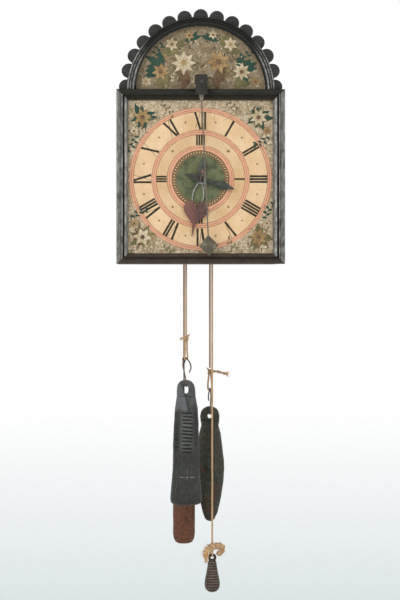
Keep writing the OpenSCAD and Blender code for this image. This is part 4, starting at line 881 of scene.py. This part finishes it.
class CLOCK_OT_weights(bpy.types.Operator):
    """Forged and cast weights, the turned pear, and the bent wire hooks"""
    bl_idname = "clock.weights"
    bl_label = "Weights and hooks"

    def execute(self, context):
        wire = metal("hook_wire_steel", (0.105, 0.1, 0.092), 0.45, 0.85, (0.13, 0.075, 0.045), 0.3, 0.15)
        self.hook("going_hook", (-ROPE_R, GOING_Y, -288.9), 44.0, -7.4, wire)
        self.hook("strike_hook", (ROPE_R, STRIKE_Y, -338.9), 40.0, 2.6, wire)
        self.file_cuts(forged("going_weight", self.file_marked(), 0.75, 24.0, 1.7, 0.3, 10))
        self.blunt_foot(forged("strike_weight", self.scaled_iron(), 0.85, 20.0, 1.5, 0.4, 5))
        red = metal("red_iron", colours().rust, 0.7, 0.05, (0.052, 0.018, 0.01), 0.2, 0.3)
        forged("counterweight", red, 0.8, 12.0, 0.8, 0.15, 9)
        self.pear()
        return {"FINISHED"}

    def file_cuts(self, obj):
        """Widens the going weight's waist and carves its ridge, its twelve long V marks and its eight short ones."""
        wide = [(0.0, 0.9), (0.13, 0.92), (0.22, 1.13), (0.36, 1.2), (0.54, 1.18), (0.74, 1.05), (0.9, 1.0),
                (1.1, 1.0)]
        for vertex in obj.data.vertices:
            down = max(0.0, (GOING_TOP - (vertex.co.z / MM + HANG)) / GOING_LONG)
            (a, wa), (b, wb) = next(pair for pair in zip(wide, wide[1:]) if down <= pair[1][0])
            vertex.co.x = -ROPE_R * MM + (vertex.co.x + ROPE_R * MM) * (wa + (wb - wa) * (down - a) / (b - a))
            deep, most = vertex.co.y - GOING_Y * MM, (6.2 + max(0.0, GOING_LONG * down - 14.0) * 0.245) * MM
            if abs(deep) > most:
                vertex.co.y = GOING_Y * MM + math.copysign(most + (abs(deep) - most) * 0.12, deep)
        dice = random.Random(4)
        cuts = [(-375.5 - 5.7 * i + dice.uniform(-0.7, 0.7), dice.uniform(-9.5, -7.0), dice.uniform(8.0, 12.5),
                 dice.uniform(0.0, 0.1), dice.uniform(0.75, 1.0)) for i in range(12)]
        cuts += [(-400.0 - 5.2 * i + dice.uniform(-0.8, 0.8), -19.5, dice.uniform(-15.0, -11.5),
                  dice.uniform(0.0, 0.12), dice.uniform(0.5, 0.9)) for i in range(8)]
        depths = []
        for vertex in obj.data.vertices:
            x, y, z = vertex.co.x / MM + ROPE_R, vertex.co.y / MM - GOING_Y, vertex.co.z / MM + HANG
            deep = 0.0
            if y < -3.0 and -445.0 < z < -370.0:
                for high, left, right, tilt, bite in cuts:
                    across = min(1.0, max(0.0, min(x - left, right - x) / 2.6))
                    deep = max(deep, bite * across * (1.0 - abs(z - high + tilt * x) / 1.9))
            if y < -3.0 and -374.0 < z < -330.0:
                vertex.co.y -= 1.1 * max(0.0, 1.0 - abs(crease(x, z)) / 2.6) * MM
            vertex.co.y += 1.4 * deep * MM
            depths.append(deep)
        obj.data.attributes.new("hollow", "FLOAT", "POINT").data.foreach_set("value", depths)

    def blunt_foot(self, obj):
        """Widens the foot of the strike weight, which ends blunt and not in a point."""
        for vertex in obj.data.vertices:
            down = (STRIKE_TOP - (vertex.co.z / MM + HANG)) / STRIKE_LONG
            wider = 1.0 + sum(more * min(1.0, max(0.0, (down - start) / span))
                              for start, span, more in ((0.76, 0.12, 0.08), (0.88, 0.08, 0.4), (0.96, 0.03, 0.75)))
            vertex.co.x = ROPE_R * MM + (vertex.co.x - ROPE_R * MM) * wider
            vertex.co.y = STRIKE_Y * MM + (vertex.co.y - STRIKE_Y * MM) * (1.0 + (wider - 1.0) * 0.6)

    def pear(self):
        """The turned pear: a ringed body with a carved eye, made in one and softened."""
        x, y = ROPE_R, GOING_Y
        profile = [(9.0, 3.4), (11.0, 5.6), (13.0, 6.4), (16.0, 6.9), (22.0, 7.7), (28.0, 8.7), (34.0, 9.9),
                   (40.0, 11.1), (46.0, 12.1), (50.0, 12.3), (54.0, 11.8), (58.0, 10.2), (61.0, 7.4), (62.6, 3.8),
                   (63.0, 0.6)]

        def reach(turn, part, walked):
            down = 9.0 + walked / MM
            for (a, ra), (b, rb) in zip(profile, profile[1:]):
                if down <= b + 0.001:
                    break
            radius = ra + (rb - ra) * min(1.0, (down - a) / (b - a))
            ring = 0.45
            if PEAR_NECK < down < 60.0:
                ring = 0.9 * abs(math.sin(math.pi * (down - PEAR_NECK) / PEAR_RING)) ** 0.7
            return (radius - 0.55 + ring * min(1.0, radius / 6.0)) * MM, 0.0
        body = tube("body", path_at([(x, y, PEAR_TOP - 9.0 - 0.5 * i) for i in range(109)], 1), reach, 64)
        turns = [2 * math.pi * i / 32 for i in range(33)]
        ring = [(x + 4.7 * math.sin(turn), y, PEAR_TOP - 6.9 + 4.7 * math.cos(turn)) for turn in turns]
        obj = joined([body, tube("eye", path_at(ring, 1), 0.0022, 16)])
        add_modifier(obj, "REMESH", mode="VOXEL", voxel_size=0.00042)
        add_modifier(obj, "SMOOTH", factor=0.4, iterations=1)
        apply_all(obj)
        pick(obj)
        bpy.ops.object.shade_smooth()
        in_place_of("pear_weight", obj, self.turned_pear(), "_turned")

    def hook(self, node, middle, drop, curl, finish):
        """A bent wire. Its curl goes through a knot's loop, and drop below that it goes through a weight's eye."""
        curve = [(-0.6 * curl, -5, -22 if abs(curl) > 5 else -18), (-curl, -4.6, -15), (-0.9 * curl, -4.4, -8),
                 (-0.5 * curl, -4, -2.4), (-0.08 * curl, -3, 1.2), (0, 0, 2.2), (0.1 * curl, 3, 1),
                 (0.5 * curl, 4, -3), (0.7 * curl, 3, -9), (0.55 * curl, -1, -16), (0.25 * curl, -6.6, 16 - drop),
                 (0.1 * curl, -9.2, 9.5 - drop), (0, -9.4, 4.8 - drop), (0, -8.5, 1.6 - drop), (0, -6.4, 0.1 - drop),
                 (0, 0, -drop), (0, 6.4, 0.1 - drop), (0, 8.5, 1.6 - drop), (0, 9.4, 4.8 - drop), (0, 9.5, 9 - drop)]
        radius = bpy.context.scene.clock_sizes.wire / 2
        wire = tube(node, path_at(near(middle, curve), 5), lambda turn, part, walked:
                    (radius * (1.0 - 0.25 * max(0.0, abs(part - 0.5) - 0.47) / 0.03), 0.0), 14)
        in_place_of(node, wire, finish, "_wire")

    def file_marked(self):
        """Grey iron with long scratches, painted shade in the file marks, and painted highlight and shade on either
        side of the shoulder's ridge.
        """
        f = Finish("grey_iron", 0.5, 0.3, 0.35)
        x, y, z = f.parts()
        side = x + ROPE_R
        grain = f.noise(170.0, 6.0, 0.65)
        scratches = f.noise(1.0, 3.0, 0.6, f.stretched((260.0, 260.0, 12.0)))
        patch = f.noise(26.0, 4.0, 0.6)
        f.ground(grain.ramp(0.3, 0.7), (0.014, 0.015, 0.013), (0.038, 0.04, 0.036))
        upper = z.ramp(-380.0, -345.0) * 0.8 + 0.12
        f.lay(upper * (0.55 + 0.45 * scratches.ramp(0.42, 0.66)), (0.125, 0.132, 0.132))
        f.lay(scratches.ramp(0.58, 0.7) * 0.22, (0.2, 0.205, 0.2))
        f.lay(patch.ramp(0.5, 0.72) * 0.5, (0.018, 0.019, 0.018))
        # Painted highlight on the facet left of the shoulder's ridge, and painted shade in a narrow strip just right of
        # it.
        away, facet = crease(side, z), z.band(-372.0, -330.0, 3.0)
        f.lay(facet * (1.0 - away.ramp(-2.0, 0.5)) * 0.45, (0.17, 0.182, 0.19))
        f.lay(facet * away.band(0.3, 2.4, 0.8) * 0.6, (0.022, 0.023, 0.022))
        middle = z.band(-438.0, -375.0, 6.0) * (1.0 - side.abs().ramp(4.0, 14.0))
        f.lay(middle * (0.55 + 0.45 * patch.ramp(0.35, 0.6)) * 0.75, (0.13, 0.135, 0.127))
        # Painted shade in the file marks, darkest where they are deepest.
        f.lay(f.hollow().ramp(0.06, 0.45) * 0.92, (0.007, 0.008, 0.007))
        seam = z.band(-479.4, -477.8, 0.3) * (1.0 - side.abs().ramp(10.0, 16.0)) * f.noise(300.0, 3.0).ramp(0.42, 0.6)
        f.lay(seam * 0.7, (0.26, 0.25, 0.225))
        rust = f.noise(60.0, 4.0).ramp(0.62, 0.74)
        f.lay(rust * 0.35, (0.07, 0.04, 0.026))
        pits = f.cells(420.0).ramp(0.0, 0.45)
        return f.end(0.48 + grain * 0.22 + rust * 0.2, grain + scratches * 0.6 + pits * 0.4, 0.35, 0.0008,
                     0.34 - rust * 0.2)

    def scaled_iron(self):
        """Greenish black iron with red-brown patches."""
        f = Finish("black_iron", 0.6, 0.2, 0.3)
        grain = f.noise(210.0, 6.0, 0.68)
        patch = f.noise(38.0, 5.0, 0.62, distortion=0.6)
        f.ground(grain.ramp(0.3, 0.72), (0.019, 0.021, 0.015), (0.068, 0.07, 0.052))
        mask = patch.ramp(0.5, 0.63) * (0.35 + 0.65 * f.parts()[2].ramp(-430.0, -480.0))
        f.lay(mask * (0.3 + grain * 0.7), (0.085, 0.036, 0.022))
        f.lay(f.noise(75.0, 4.0).ramp(0.64, 0.72) * 0.35, (0.11, 0.115, 0.098))
        return f.end(0.5 + grain * 0.2 + mask * 0.2, grain + patch * 0.8 + f.cells(330.0).ramp(0.0, 0.5) * 0.5, 0.4,
                     0.001, 0.22 - mask * 0.15)

    def turned_pear(self):
        """Dark turned wood, with painted highlight on the ridges of its rings."""
        f = Finish("turned_pear_wood", 0.5, 0.0, 0.3)
        z = f.parts()[2]
        # Painted highlight along the ridges of the rings below the neck, brighter where the dust noise is high.
        ridge = ((z - (PEAR_TOP - PEAR_NECK)) * (math.pi / PEAR_RING)).sin().abs()
        rings = ridge.ramp(0.88, 1.0) * (1.0 - z.ramp(-616.0, -613.0))
        grain = f.noise(1.0, 5.0, 0.65, f.stretched((700.0, 700.0, 60.0)))
        dust = f.noise(120.0, 4.0).ramp(0.4, 0.7)
        f.ground(grain.ramp(0.3, 0.7), (0.018, 0.012, 0.009), (0.06, 0.04, 0.03))
        f.lay(dust * 0.25, (0.11, 0.085, 0.062))
        f.lay(rings * (0.4 + 0.45 * dust), (0.27, 0.222, 0.165))
        return f.end(0.45 + grain * 0.3, grain, 0.3, 0.0006)


# Case, frame and arch


class CLOCK_OT_case(bpy.types.Operator):
    """Moulded frame, arch, cock, case boards, bars and posts with soft edges and wood grain"""
    bl_idname = "clock.case"
    bl_label = "Case and frame"

    def execute(self, context):
        c = colours()
        # worn is the frame's grey: worn stain, and painted highlight where the rail and arch masks put it.
        dark, worn, old = c.frame_dark, c.frame_worn_and_lit, c.plain_wood
        sides = grained("side_rail_wood", dark, "z", 0.4, 0.5, 0.3, worn, side_wear_and_highlight, 0.25)
        top = grained("top_rail_wood", toned(dark, 0.9, 0.95, 0.85), "x", 0.4, 0.42, 0.3, worn, top_wear_and_highlight, 0.2)
        low = grained("bottom_rail_wood", toned(dark, 1.6, 1.15, 1.05), "x", 0.4, 0.48, 0.3, worn, low_wear_and_highlight, 0.22)
        arch = grained("arch_wood", toned(dark, 0.75, 0.9, 1.0), "x", 0.4, 0.5, 0.3, worn, arch_wear_and_highlight, 0.2)
        cock = grained("cock_wood", (0.026, 0.024, 0.021), "z", 0.5, 0.6, 0.4, (0.15, 0.14, 0.125), specular=0.2)
        for node, finish, bevel, smooth in (("frame_side_rails", sides, 0.35, 32), ("frame_top_rail", top, 0.35, 32),
                                            ("frame_bottom_rail", low, 0.35, 32), ("arch_board", arch, 0.5, 32),
                                            ("arch_moulding", arch, 0.0, 30), ("verge_cock", cock, 0.7, 32)):
            dress(node, finish, bevel, smooth)
        head = tube("head", [at(0.6, -209.4 - 1.5 * i / 8, 155.4) for i in range(9)],
                    lambda turn, part, walked: (0.003 * math.sqrt(max(0.02, 1.0 - part * part)), 0.0), 20)
        settle(head, "cock_nail", metal("nail_iron", (0.05, 0.049, 0.046), 0.5, 0.4, bump=0.3), "case")
        across = grained("board_wood_across", old, "x", 0.35, 0.7, 0.4)
        upright = grained("board_wood_upright", old, "z", 0.35, 0.7, 0.4)
        deep = grained("board_wood_deep", toned(old, 1.15), "x", 0.3, 0.7, 0.3)
        for node, finish in (("back_board", upright), ("base_board", across), ("top_board", across),
                             ("corner_posts", upright), ("front_bar", upright), ("middle_bar", upright),
                             ("rear_bar", upright), ("step_block", deep), ("verge_rear_cock", upright)):
            dress(node, finish, 0.6 if node.endswith("board") else 0.45)
        return {"FINISHED"}


# Wheels, arbors and bell


class CLOCK_OT_movement(bpy.types.Operator):
    """Wooden wheels and arbors, wire pivots, levers and the bell behind the dial"""
    bl_idname = "clock.movement"
    bl_label = "Movement"

    def execute(self, context):
        wood = colours().wheel_wood
        made = {
            "wheel_wood": grained("wheel_pearwood", wood, "x", 0.28, 0.55, 0.3),
            "arbor_wood": grained("arbor_wood", toned(wood, 0.8), "y", 0.3, 0.55, 0.3),
            "crown_metal": metal("old_brass", (0.42, 0.29, 0.1), 0.36, 0.92, (0.12, 0.085, 0.035), 0.3, 0.12),
            "steel_work": metal("pivot_steel", (0.33, 0.32, 0.3), 0.38, 0.9, (0.16, 0.08, 0.045), 0.22, 0.12),
            "bell_metal": metal("bell_bronze", (0.4, 0.26, 0.105), 0.34, 0.95, (0.105, 0.085, 0.045), 0.3, 0.1, 150.0)}
        special = {
            "crown_arbor": grained("upright_wood", toned(wood, 0.8), "z", 0.3, 0.55, 0.3),
            "hand_arbor": grained("dark_arbor_wood", (0.045, 0.036, 0.028), "y", 0.4, 0.6, 0.3),
            "verge": metal("verge_iron", (0.06, 0.056, 0.05), 0.5, 0.4, (0.06, 0.035, 0.022), 0.3, 0.15)}
        for node in NODES:
            kind = SLOT_OF[node]
            if kind in made:
                sharp = node in ("bell", "fly", "crown_wheel") or kind == "steel_work"
                dress(node, special.get(node, made[kind]), 0.0 if sharp else 0.25, 34)
        return {"FINISHED"}


# Dial, numerals, ornament, hands and pendulum

HOURS = ("XII", "I", "II", "III", "IIII", "V", "VI", "VII", "VIII", "IX", "X", "XI")
THICK, THIN = 3.4, 0.6  # strokes of the numerals, in millimetres
PAINT_DEEP = 0.12


def on_dial(turn, out, lean=0.0, size=1.0):
    """Where a flat shape goes on the dial: turned clockwise about the centre, then moved outwards."""
    place = Matrix.Translation(at(0, Y_FACE, 0)) @ Matrix.Rotation(math.radians(turn), 4, "Y")
    place = place @ Matrix.Translation((0, 0, out * MM)) @ Matrix.Rotation(math.radians(lean), 4, "Y")
    return place @ Matrix.Diagonal((size, 1, size, 1))


def stroke(x0, v0, x1, v1, wide, dice):
    """A brush stroke as a flat outline with slightly uneven edges."""
    side = Vector((v1 - v0, x0 - x1)).normalized() * wide / 2
    left, right = [], []
    for i in range(6):
        part = i / 5
        x, v = x0 + (x1 - x0) * part, v0 + (v1 - v0) * part
        swell = 1.0 + dice.uniform(-0.07, 0.07) + (0.08 if i in (0, 5) and wide > 1 else 0.0)
        right.append((x + side.x * swell, v + side.y * swell))
        left.append((x - side.x * swell, v - side.y * swell))
    return flat_shape(right + left[::-1], PAINT_DEEP)


def numeral(text, height, step, dice):
    """The strokes of a numeral, upright, with its middle at the origin."""
    widths = {"I": step, "V": step * 2.15, "X": step * 2.3}
    x = -sum(widths[letter] for letter in text) / 2
    low, high = -height / 2, height / 2
    strokes = []
    for letter in text:
        wide = widths[letter]
        mid, half = x + wide / 2, wide / 2 - 0.9
        lines = {"I": [(mid, mid, THICK * step / 4.6)],
                 "V": [(mid + 0.4, mid - half, THICK), (mid + 0.6, mid + half, THIN)],
                 "X": [(mid + half, mid - half, THICK), (mid - half, mid + half, THIN)]}[letter]
        strokes += [stroke(foot, low, head, high, thick, dice) for foot, head, thick in lines]
        x += wide
    return joined(strokes)


def star(radius, rays=6):
    points = []
    for i in range(2 * rays):
        reach, turn = radius * (0.32 if i % 2 else 1.0), math.pi * i / rays
        points.append((reach * math.cos(turn), reach * math.sin(turn)))
    return points


def leaf_outline(long, wide, curve=0.0, notch=0.0, count=9):
    """A leaf from its stalk outwards, bent to one side."""
    def edge(side):
        points = []
        for i in range(1, count):
            t = i / count
            half = wide / 2 * math.sin(math.pi * t ** 0.8) * (1.0 - notch * (i % 2))
            points.append((side * half + curve * t * t * long, t * long))
        return points
    return [(0.0, 0.0)] + edge(1) + [(curve * long, long)] + edge(-1)[::-1]


def grown(outline, by):
    """The same outline, a little larger all round its middle."""
    cx, cy = (sum(values) / len(outline) for values in zip(*outline))
    out = []
    for x, y in outline:
        away = Vector((x - cx, y - cy))
        away = away * (1 + by / max(away.length, 0.001))
        out.append((cx + away.x, cy + away.y))
    return out


def ornament_shapes():
    """Outlines of petals, leaves, curls, a disc and a stem, one unit long."""
    turns = [math.pi * i / 6 for i in range(12)]
    shapes = {"disc": [(math.cos(turn), math.sin(turn)) for turn in turns],
              "stem": [(0.013, 0), (0.009, 1), (-0.009, 1), (-0.013, 0)]}
    for name, way in (("curl_left", -1), ("curl_right", 1)):
        left, right = [], []
        for i in range(15):
            u = way * (0.08 + 0.34 * math.sin(0.42 * i)) * (1.0 - 0.035 * i)
            v = 0.06 * i + 0.2 * math.sin(0.3 * i) ** 2
            thick = 0.02 + 0.042 * math.sin(math.pi * i / 14)
            left.append((u - thick, v - thick * 0.4))
            right.append((u + thick, v + thick * 0.4))
        shapes[name] = left + right[::-1]
    for name, wide, bend, notch in (("leaf_left", 0.42, -0.28, 0.1), ("leaf", 0.46, 0.0, 0.12),
                                    ("leaf_right", 0.42, 0.28, 0.1), ("sprig_left", 0.44, -0.25, 0.0),
                                    ("sprig_right", 0.44, 0.25, 0.0)):
        shapes[name] = leaf_outline(1.0, wide, bend, notch)
    for petals in (6, 7, 8):
        for ring, (reach, wide) in enumerate(((0.92, 2.85), (0.6, 1.4))):
            outline = leaf_outline(reach, wide / petals, count=7)
            shapes["petal%d%d" % (petals, ring)] = [(u, v + 0.1) for u, v in outline]
    return shapes


# The bunch in the arch: fans of leaves, then large flowers over them
ARCH_LEAVES = ((-62, 178, -70, 34, "green"), (62, 176, 70, 34, "green"), (-38, 206, -40, 32, "olive"),
               (40, 208, 40, 32, "olive"), (-20, 168, -110, 30, "brown"), (24, 168, 110, 30, "brown"),
               (-52, 160, -95, 30, "olive"), (56, 160, 95, 30, "olive"), (-14, 222, -15, 20, "green"),
               (16, 222, 15, 20, "green"))
ARCH_FLOWERS = ((-27, 186, 20, 8, 0, "cream", "ochre"), (29, 188, 19, 7, 12, "ochre", "brown"),
                (-64, 172, 14, 7, 5, "ochre", "brown"), (66, 172, 14.5, 8, 5, "cream", "brown"),
                (-46, 216, 11, 6, 5, "cream", "brown"), (48, 216, 11.5, 6, 0, "cream", "ochre"),
                (-6, 158, 9.5, 6, 15, "cream", "brown"), (88, 156, 8, 6, 0, "ochre", "brown"),
                (-87, 156, 8.5, 6, 0, "cream", "ochre"), (-18, 230, 8, 6, 0, "ochre", "brown"),
                (20, 231, 7.5, 6, 0, "cream", "brown"))
ORNAMENT_TONES = {"cream": ((0.66, 0.55, 0.38), (0.46, 0.36, 0.21)), "ochre": ((0.42, 0.29, 0.13), (0.29, 0.17, 0.07)),
                  "green": ((0.018, 0.062, 0.045), (0.035, 0.075, 0.048)),
                  "olive": ((0.205, 0.175, 0.075), (0.12, 0.11, 0.05)),
                  "brown": ((0.105, 0.06, 0.032), (0.2, 0.12, 0.065)),
                  "line": ((0.045, 0.032, 0.018), (0.07, 0.048, 0.026))}


class Ornament:
    """Sprays of flowers. Each tone is gathered as one piece, with dark outlines under it."""

    def __init__(self):
        self.dice = random.Random(77)
        self.places = {}

    def put(self, shape, tone, x, z, turn, size, lift):
        place = Matrix.Translation(at(x, Y_FACE - lift, z)) @ Matrix.Rotation(math.radians(turn), 4, "Y")
        self.places.setdefault((shape, tone), []).append(place @ Matrix.Diagonal((size, 1, size, 1)))

    def flower(self, x, z, size, petals, turn, tone, heart):
        for ring in (0, 1):
            for i in range(petals):
                self.put("petal%d%d" % (petals, ring), tone, x, z,
                         turn + 360 * (i + ring / 2) / petals + self.dice.uniform(-4, 4), size,
                         0.13 + 0.09 * ring + 0.007 * i)
        self.put("disc", heart, x, z, 0, size * 0.24, 0.3)

    def leaves(self, x, z, count, first, spread, long, tone, lift=0.02):
        for i in range(count):
            self.put(self.dice.choice(("leaf_left", "leaf", "leaf_right")), tone, x, z,
                     first + spread * i / (count - 1), long * self.dice.uniform(0.8, 1.15), lift + 0.007 * i)

    def spray(self, x, z, first, long, count, tone):
        turn = math.radians(first)
        for i in range(count):
            reach = long * ((i + 1) / count)
            side = 1 if i % 2 else -1
            self.put("sprig_right" if side > 0 else "sprig_left", tone, x + math.sin(turn) * reach,
                     z + math.cos(turn) * reach, math.degrees(turn) + 52 * side, long * 0.3, 0.03 + 0.005 * i)
            turn += 0.11
        self.put("stem", "brown", x, z, first + 3, long, 0.02)

    def field(self, count, inside):
        """Small curls and leaves, light and dark, all over a part of the sheet."""
        dice = self.dice
        for i in range(count):
            x, z = inside()
            tone = dice.choice(("cream", "line", "brown", "cream", "ochre"))
            if i % 5:
                self.put(dice.choice(("curl_left", "curl_right")), tone, x, z, dice.uniform(0, 360),
                         dice.uniform(8, 17), 0.005 + 0.0004 * i)
            else:
                self.put("sprig_left", dice.choice(("cream", "olive")), x, z, dice.uniform(0, 360),
                         dice.uniform(4, 7), 0.006 + 0.0004 * i)

    def in_arch(self):
        turn, reach = self.dice.uniform(0.06, math.pi - 0.06), 92.0 * math.sqrt(self.dice.random())
        return reach * math.cos(turn), 146.0 + reach * 0.94 * math.sin(turn)

    def in_corner(self):
        while True:
            x, z = self.dice.uniform(-110, 110), self.dice.uniform(-113, 120)
            if math.hypot(x, z) > 119.0:
                return x, z

    def corner(self, sx, sz):
        """One corner's spray. sx and sz are the signs of its place."""
        x, z = sx * 93, 99 if sz > 0 else -93
        out = math.degrees(math.atan2(sx, sz))
        like = sx * sz > 0
        self.leaves(x, z, 7, out - 150, 300, 21, "green" if sz > 0 else "olive")
        self.leaves(x, z, 6, out - 120, 250, 16, "olive" if sz > 0 else "brown", 0.07)
        self.flower(x, z, 14.5, 7 + (sx + sz) // 2, 20 * sx, "cream" if like else "ochre", "brown")
        self.flower(x + sx * 13.5, z - sz * 22, 7, 6, 10, "ochre" if like else "cream", "brown")
        self.flower(x - sx * 25, z + sz * 15.5, 6.5, 6, 0, "cream", "ochre")
        self.spray(x + sx * 14, z - sz * 27, out + 150 * sx * sz, 26, 7, "green")
        self.spray(x - sx * 30, z + sz * 17, out - 140 * sx * sz, 22, 6, "olive")

    def build(self):
        for sx in (-1, 1):
            for sz in (1, -1):
                self.corner(sx, sz)
        for x, z, turn, long, tone in ARCH_LEAVES:
            self.leaves(x, z, 5, turn - 62, 124, long * 0.8, tone)
        for row in ARCH_FLOWERS:
            self.flower(*row)
        self.field(110, self.in_arch)
        self.field(90, self.in_corner)
        for s in (-1, 1):
            self.spray(s * 30, 165, s * 60, 34, 8, "olive")
            self.spray(s * 72, 190, s * 12, 26, 7, "green")
        shapes, tones = ornament_shapes(), {}
        for (shape, tone), spots in self.places.items():
            base = flat_shape(shapes[shape], 0.1)
            under = flat_shape(grown(shapes[shape], 0.01 if shape == "stem" else 0.028), 0.05)
            tones.setdefault(tone, []).append(stamped(base, spots))
            tones.setdefault("line", []).append(stamped(under, spots))
        for tone, pieces in tones.items():
            finish = paint("ornament_" + tone, *ORNAMENT_TONES[tone], worn=0.1 if tone == "line" else 0.45)
            settle(joined(pieces), "ornament_" + tone, finish, "case")


class CLOCK_OT_dial(bpy.types.Operator):
    """Painted dial board with numerals and stars, and flowers in its corners and arch"""
    bl_idname = "clock.dial"
    bl_label = "Dial"

    def execute(self, context):
        ink = colours().ink
        dress("dial_board", dial_paint("dial_paint"))
        dice = random.Random(12)
        height = context.scene.clock_sizes.numeral * 1000
        marks = [stamped(numeral(text, height, 4.5, dice), [on_dial(30 * hour, 93.2)])
                 for hour, text in enumerate(HOURS)]
        marks += [stamped(numeral(text, 16.4, 3.8, dice), [on_dial(90 * quarter, 62.6)])
                  for quarter, text in enumerate(("IIII", "I", "II", "III"))]
        settle(joined(marks), "numerals", paint("numeral_ink", toned(ink, 0.9), toned(ink, 1.9, 2.0, 1.7), 0.55, 0.22),
               "case")
        small = [on_dial(30 * i + 15, 94, dice.uniform(-20, 20), dice.uniform(0.8, 1.15)) for i in range(12)]
        large = [on_dial(90 * i + 45, 63.2, dice.uniform(-20, 20), 1.0 if i else 1.35) for i in range(4)]
        stars = [stamped(flat_shape(star(2.3), PAINT_DEEP), small), stamped(flat_shape(star(2.8), PAINT_DEEP), large)]
        finish = paint("star_ink", (0.06, 0.026, 0.016), (0.14, 0.052, 0.03), 0.55, 0.25)
        settle(joined(stars), "stars", finish, "case")
        Ornament().build()
        return {"FINISHED"}


class CLOCK_OT_hands(bpy.types.Operator):
    """Quarter hand, hour hand with its heart, and the pendulum with its bob"""
    bl_idname = "clock.hands"
    bl_label = "Hands and pendulum"

    def execute(self, context):
        iron = metal("quarter_hand_iron", (0.052, 0.06, 0.052), 0.5, 0.55, (0.05, 0.04, 0.034), 0.2)
        dress("quarter_hand", iron, 0.35, 40)
        dress("hand_pin", iron, 0.2, 40)
        bent = [(-1.6, -186.6, -7.0), (-1.0, -187.6, -3.0), (-0.6, -188.3, 0.4), (0.6, -188.6, 4.4), (3.0, -188.0, 6.2),
                (5.0, -187.0, 3.8), (5.5, -186.4, -1.0), (5.7, -186.6, -9.0), (5.3, -186.3, -17.5)]
        finish = metal("hub_wire_iron", (0.33, 0.32, 0.3), 0.45, 0.5, (0.15, 0.06, 0.045), 0.35)
        settle(tube("bent", path_at(bent, 6), 0.0006, 12), "hub_wire", finish, BODY_OF["quarter_hand"])
        dress("hour_hand", self.hour_iron(), 0.3, 40)
        rod = metal("pendulum_iron", (0.27, 0.24, 0.205), 0.5, 0.3, (0.22, 0.15, 0.1), 0.25, 0.15)
        dress("pendulum_rod", rod, 0.0, 40)
        bob = metal("bob_lead", (0.188, 0.163, 0.108), 0.55, 0.55, (0.07, 0.06, 0.042), 0.35, 0.35, 150.0)
        lozenge = dress("pendulum_bob", bob, 0.5, 25)
        middle = [sum(corner) / 2 for corner in zip(*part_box("pendulum_bob"))]
        for vertex in lozenge.data.vertices:
            vertex.co.x = middle[0] + (vertex.co.x - middle[0]) * 1.1
            vertex.co.z = middle[2] + (vertex.co.z - middle[2]) * 1.07
        return {"FINISHED"}

    def hour_iron(self):
        """Purple-brown on the heart, worn bright on the wires, grey on the tail."""
        f = Finish("hour_hand_iron", 0.5, 0.5)
        x, y, z = f.parts()
        turn = math.radians(188.8)
        out = x * math.sin(turn) + z * math.cos(turn)
        grain = f.noise(260.0, 6.0, 0.65)
        patch = f.noise(60.0, 4.0, 0.6)
        streak = grain.ramp(0.3, 0.7)
        f.ground(streak, (0.06, 0.029, 0.027), (0.165, 0.082, 0.072))
        f.lay(patch.ramp(0.5, 0.7) * 0.5, (0.18, 0.105, 0.085))
        f.lay((1.0 - x.ramp(-13.0, -5.0)) * 0.5, (0.21, 0.078, 0.056))
        heart = out.ramp(33.0, 38.0)
        f.colour = f.mix(heart, f.mix(streak, (0.2, 0.2, 0.19), (0.42, 0.41, 0.39)), f.colour)
        f.lay(out < 4.0, f.mix(streak, (0.042, 0.05, 0.04), (0.11, 0.118, 0.1)))
        spot = ((x - 3.4) * (x - 3.4) + (z - 11.6) * (z - 11.6)).sqrt() + patch * 3.0
        f.lay((1.0 - spot.ramp(1.8, 6.0)) * 0.9, (0.3, 0.12, 0.11))
        return f.end(0.42 + grain * 0.25, grain + patch * 0.6, 0.25, 0.0005, 0.65 - heart * 0.45)


class CLOCK_PT_parts(bpy.types.Panel):
    """Buttons for each group of pieces, and the sizes and colours"""
    bl_label = "Clock"
    bl_idname = "CLOCK_PT_parts"
    bl_space_type = "VIEW_3D"
    bl_region_type = "UI"
    bl_category = "Clock"

    def draw(self, context):
        layout, scene = self.layout, context.scene
        for step in STEPS:
            layout.operator(step.bl_idname)
        for group in (scene.clock_sizes, scene.clock_colours, scene.clock_stage):
            box = layout.box()
            for key in group.__annotations__:
                box.prop(group, key)


STEPS = (CLOCK_OT_stage, CLOCK_OT_ropes, CLOCK_OT_weights, CLOCK_OT_case, CLOCK_OT_dial, CLOCK_OT_hands,
         CLOCK_OT_movement)
GROUPS = {"clock_colours": ClockColours, "clock_sizes": ClockSizes, "clock_stage": ClockStage}


def register():
    for kind in (*GROUPS.values(), *STEPS, CLOCK_PT_parts):
        bpy.utils.register_class(kind)
    for name, kind in GROUPS.items():
        setattr(bpy.types.Scene, name, PointerProperty(type=kind))


def unregister():
    for name in GROUPS:
        delattr(bpy.types.Scene, name)
    for kind in (CLOCK_PT_parts, *reversed(STEPS), *GROUPS.values()):
        bpy.utils.unregister_class(kind)


def main():
    register()
    for step in STEPS:
        family, action = step.bl_idname.split(".")
        getattr(getattr(bpy.ops, family), action)()


if __name__ == "__main__":
    main()
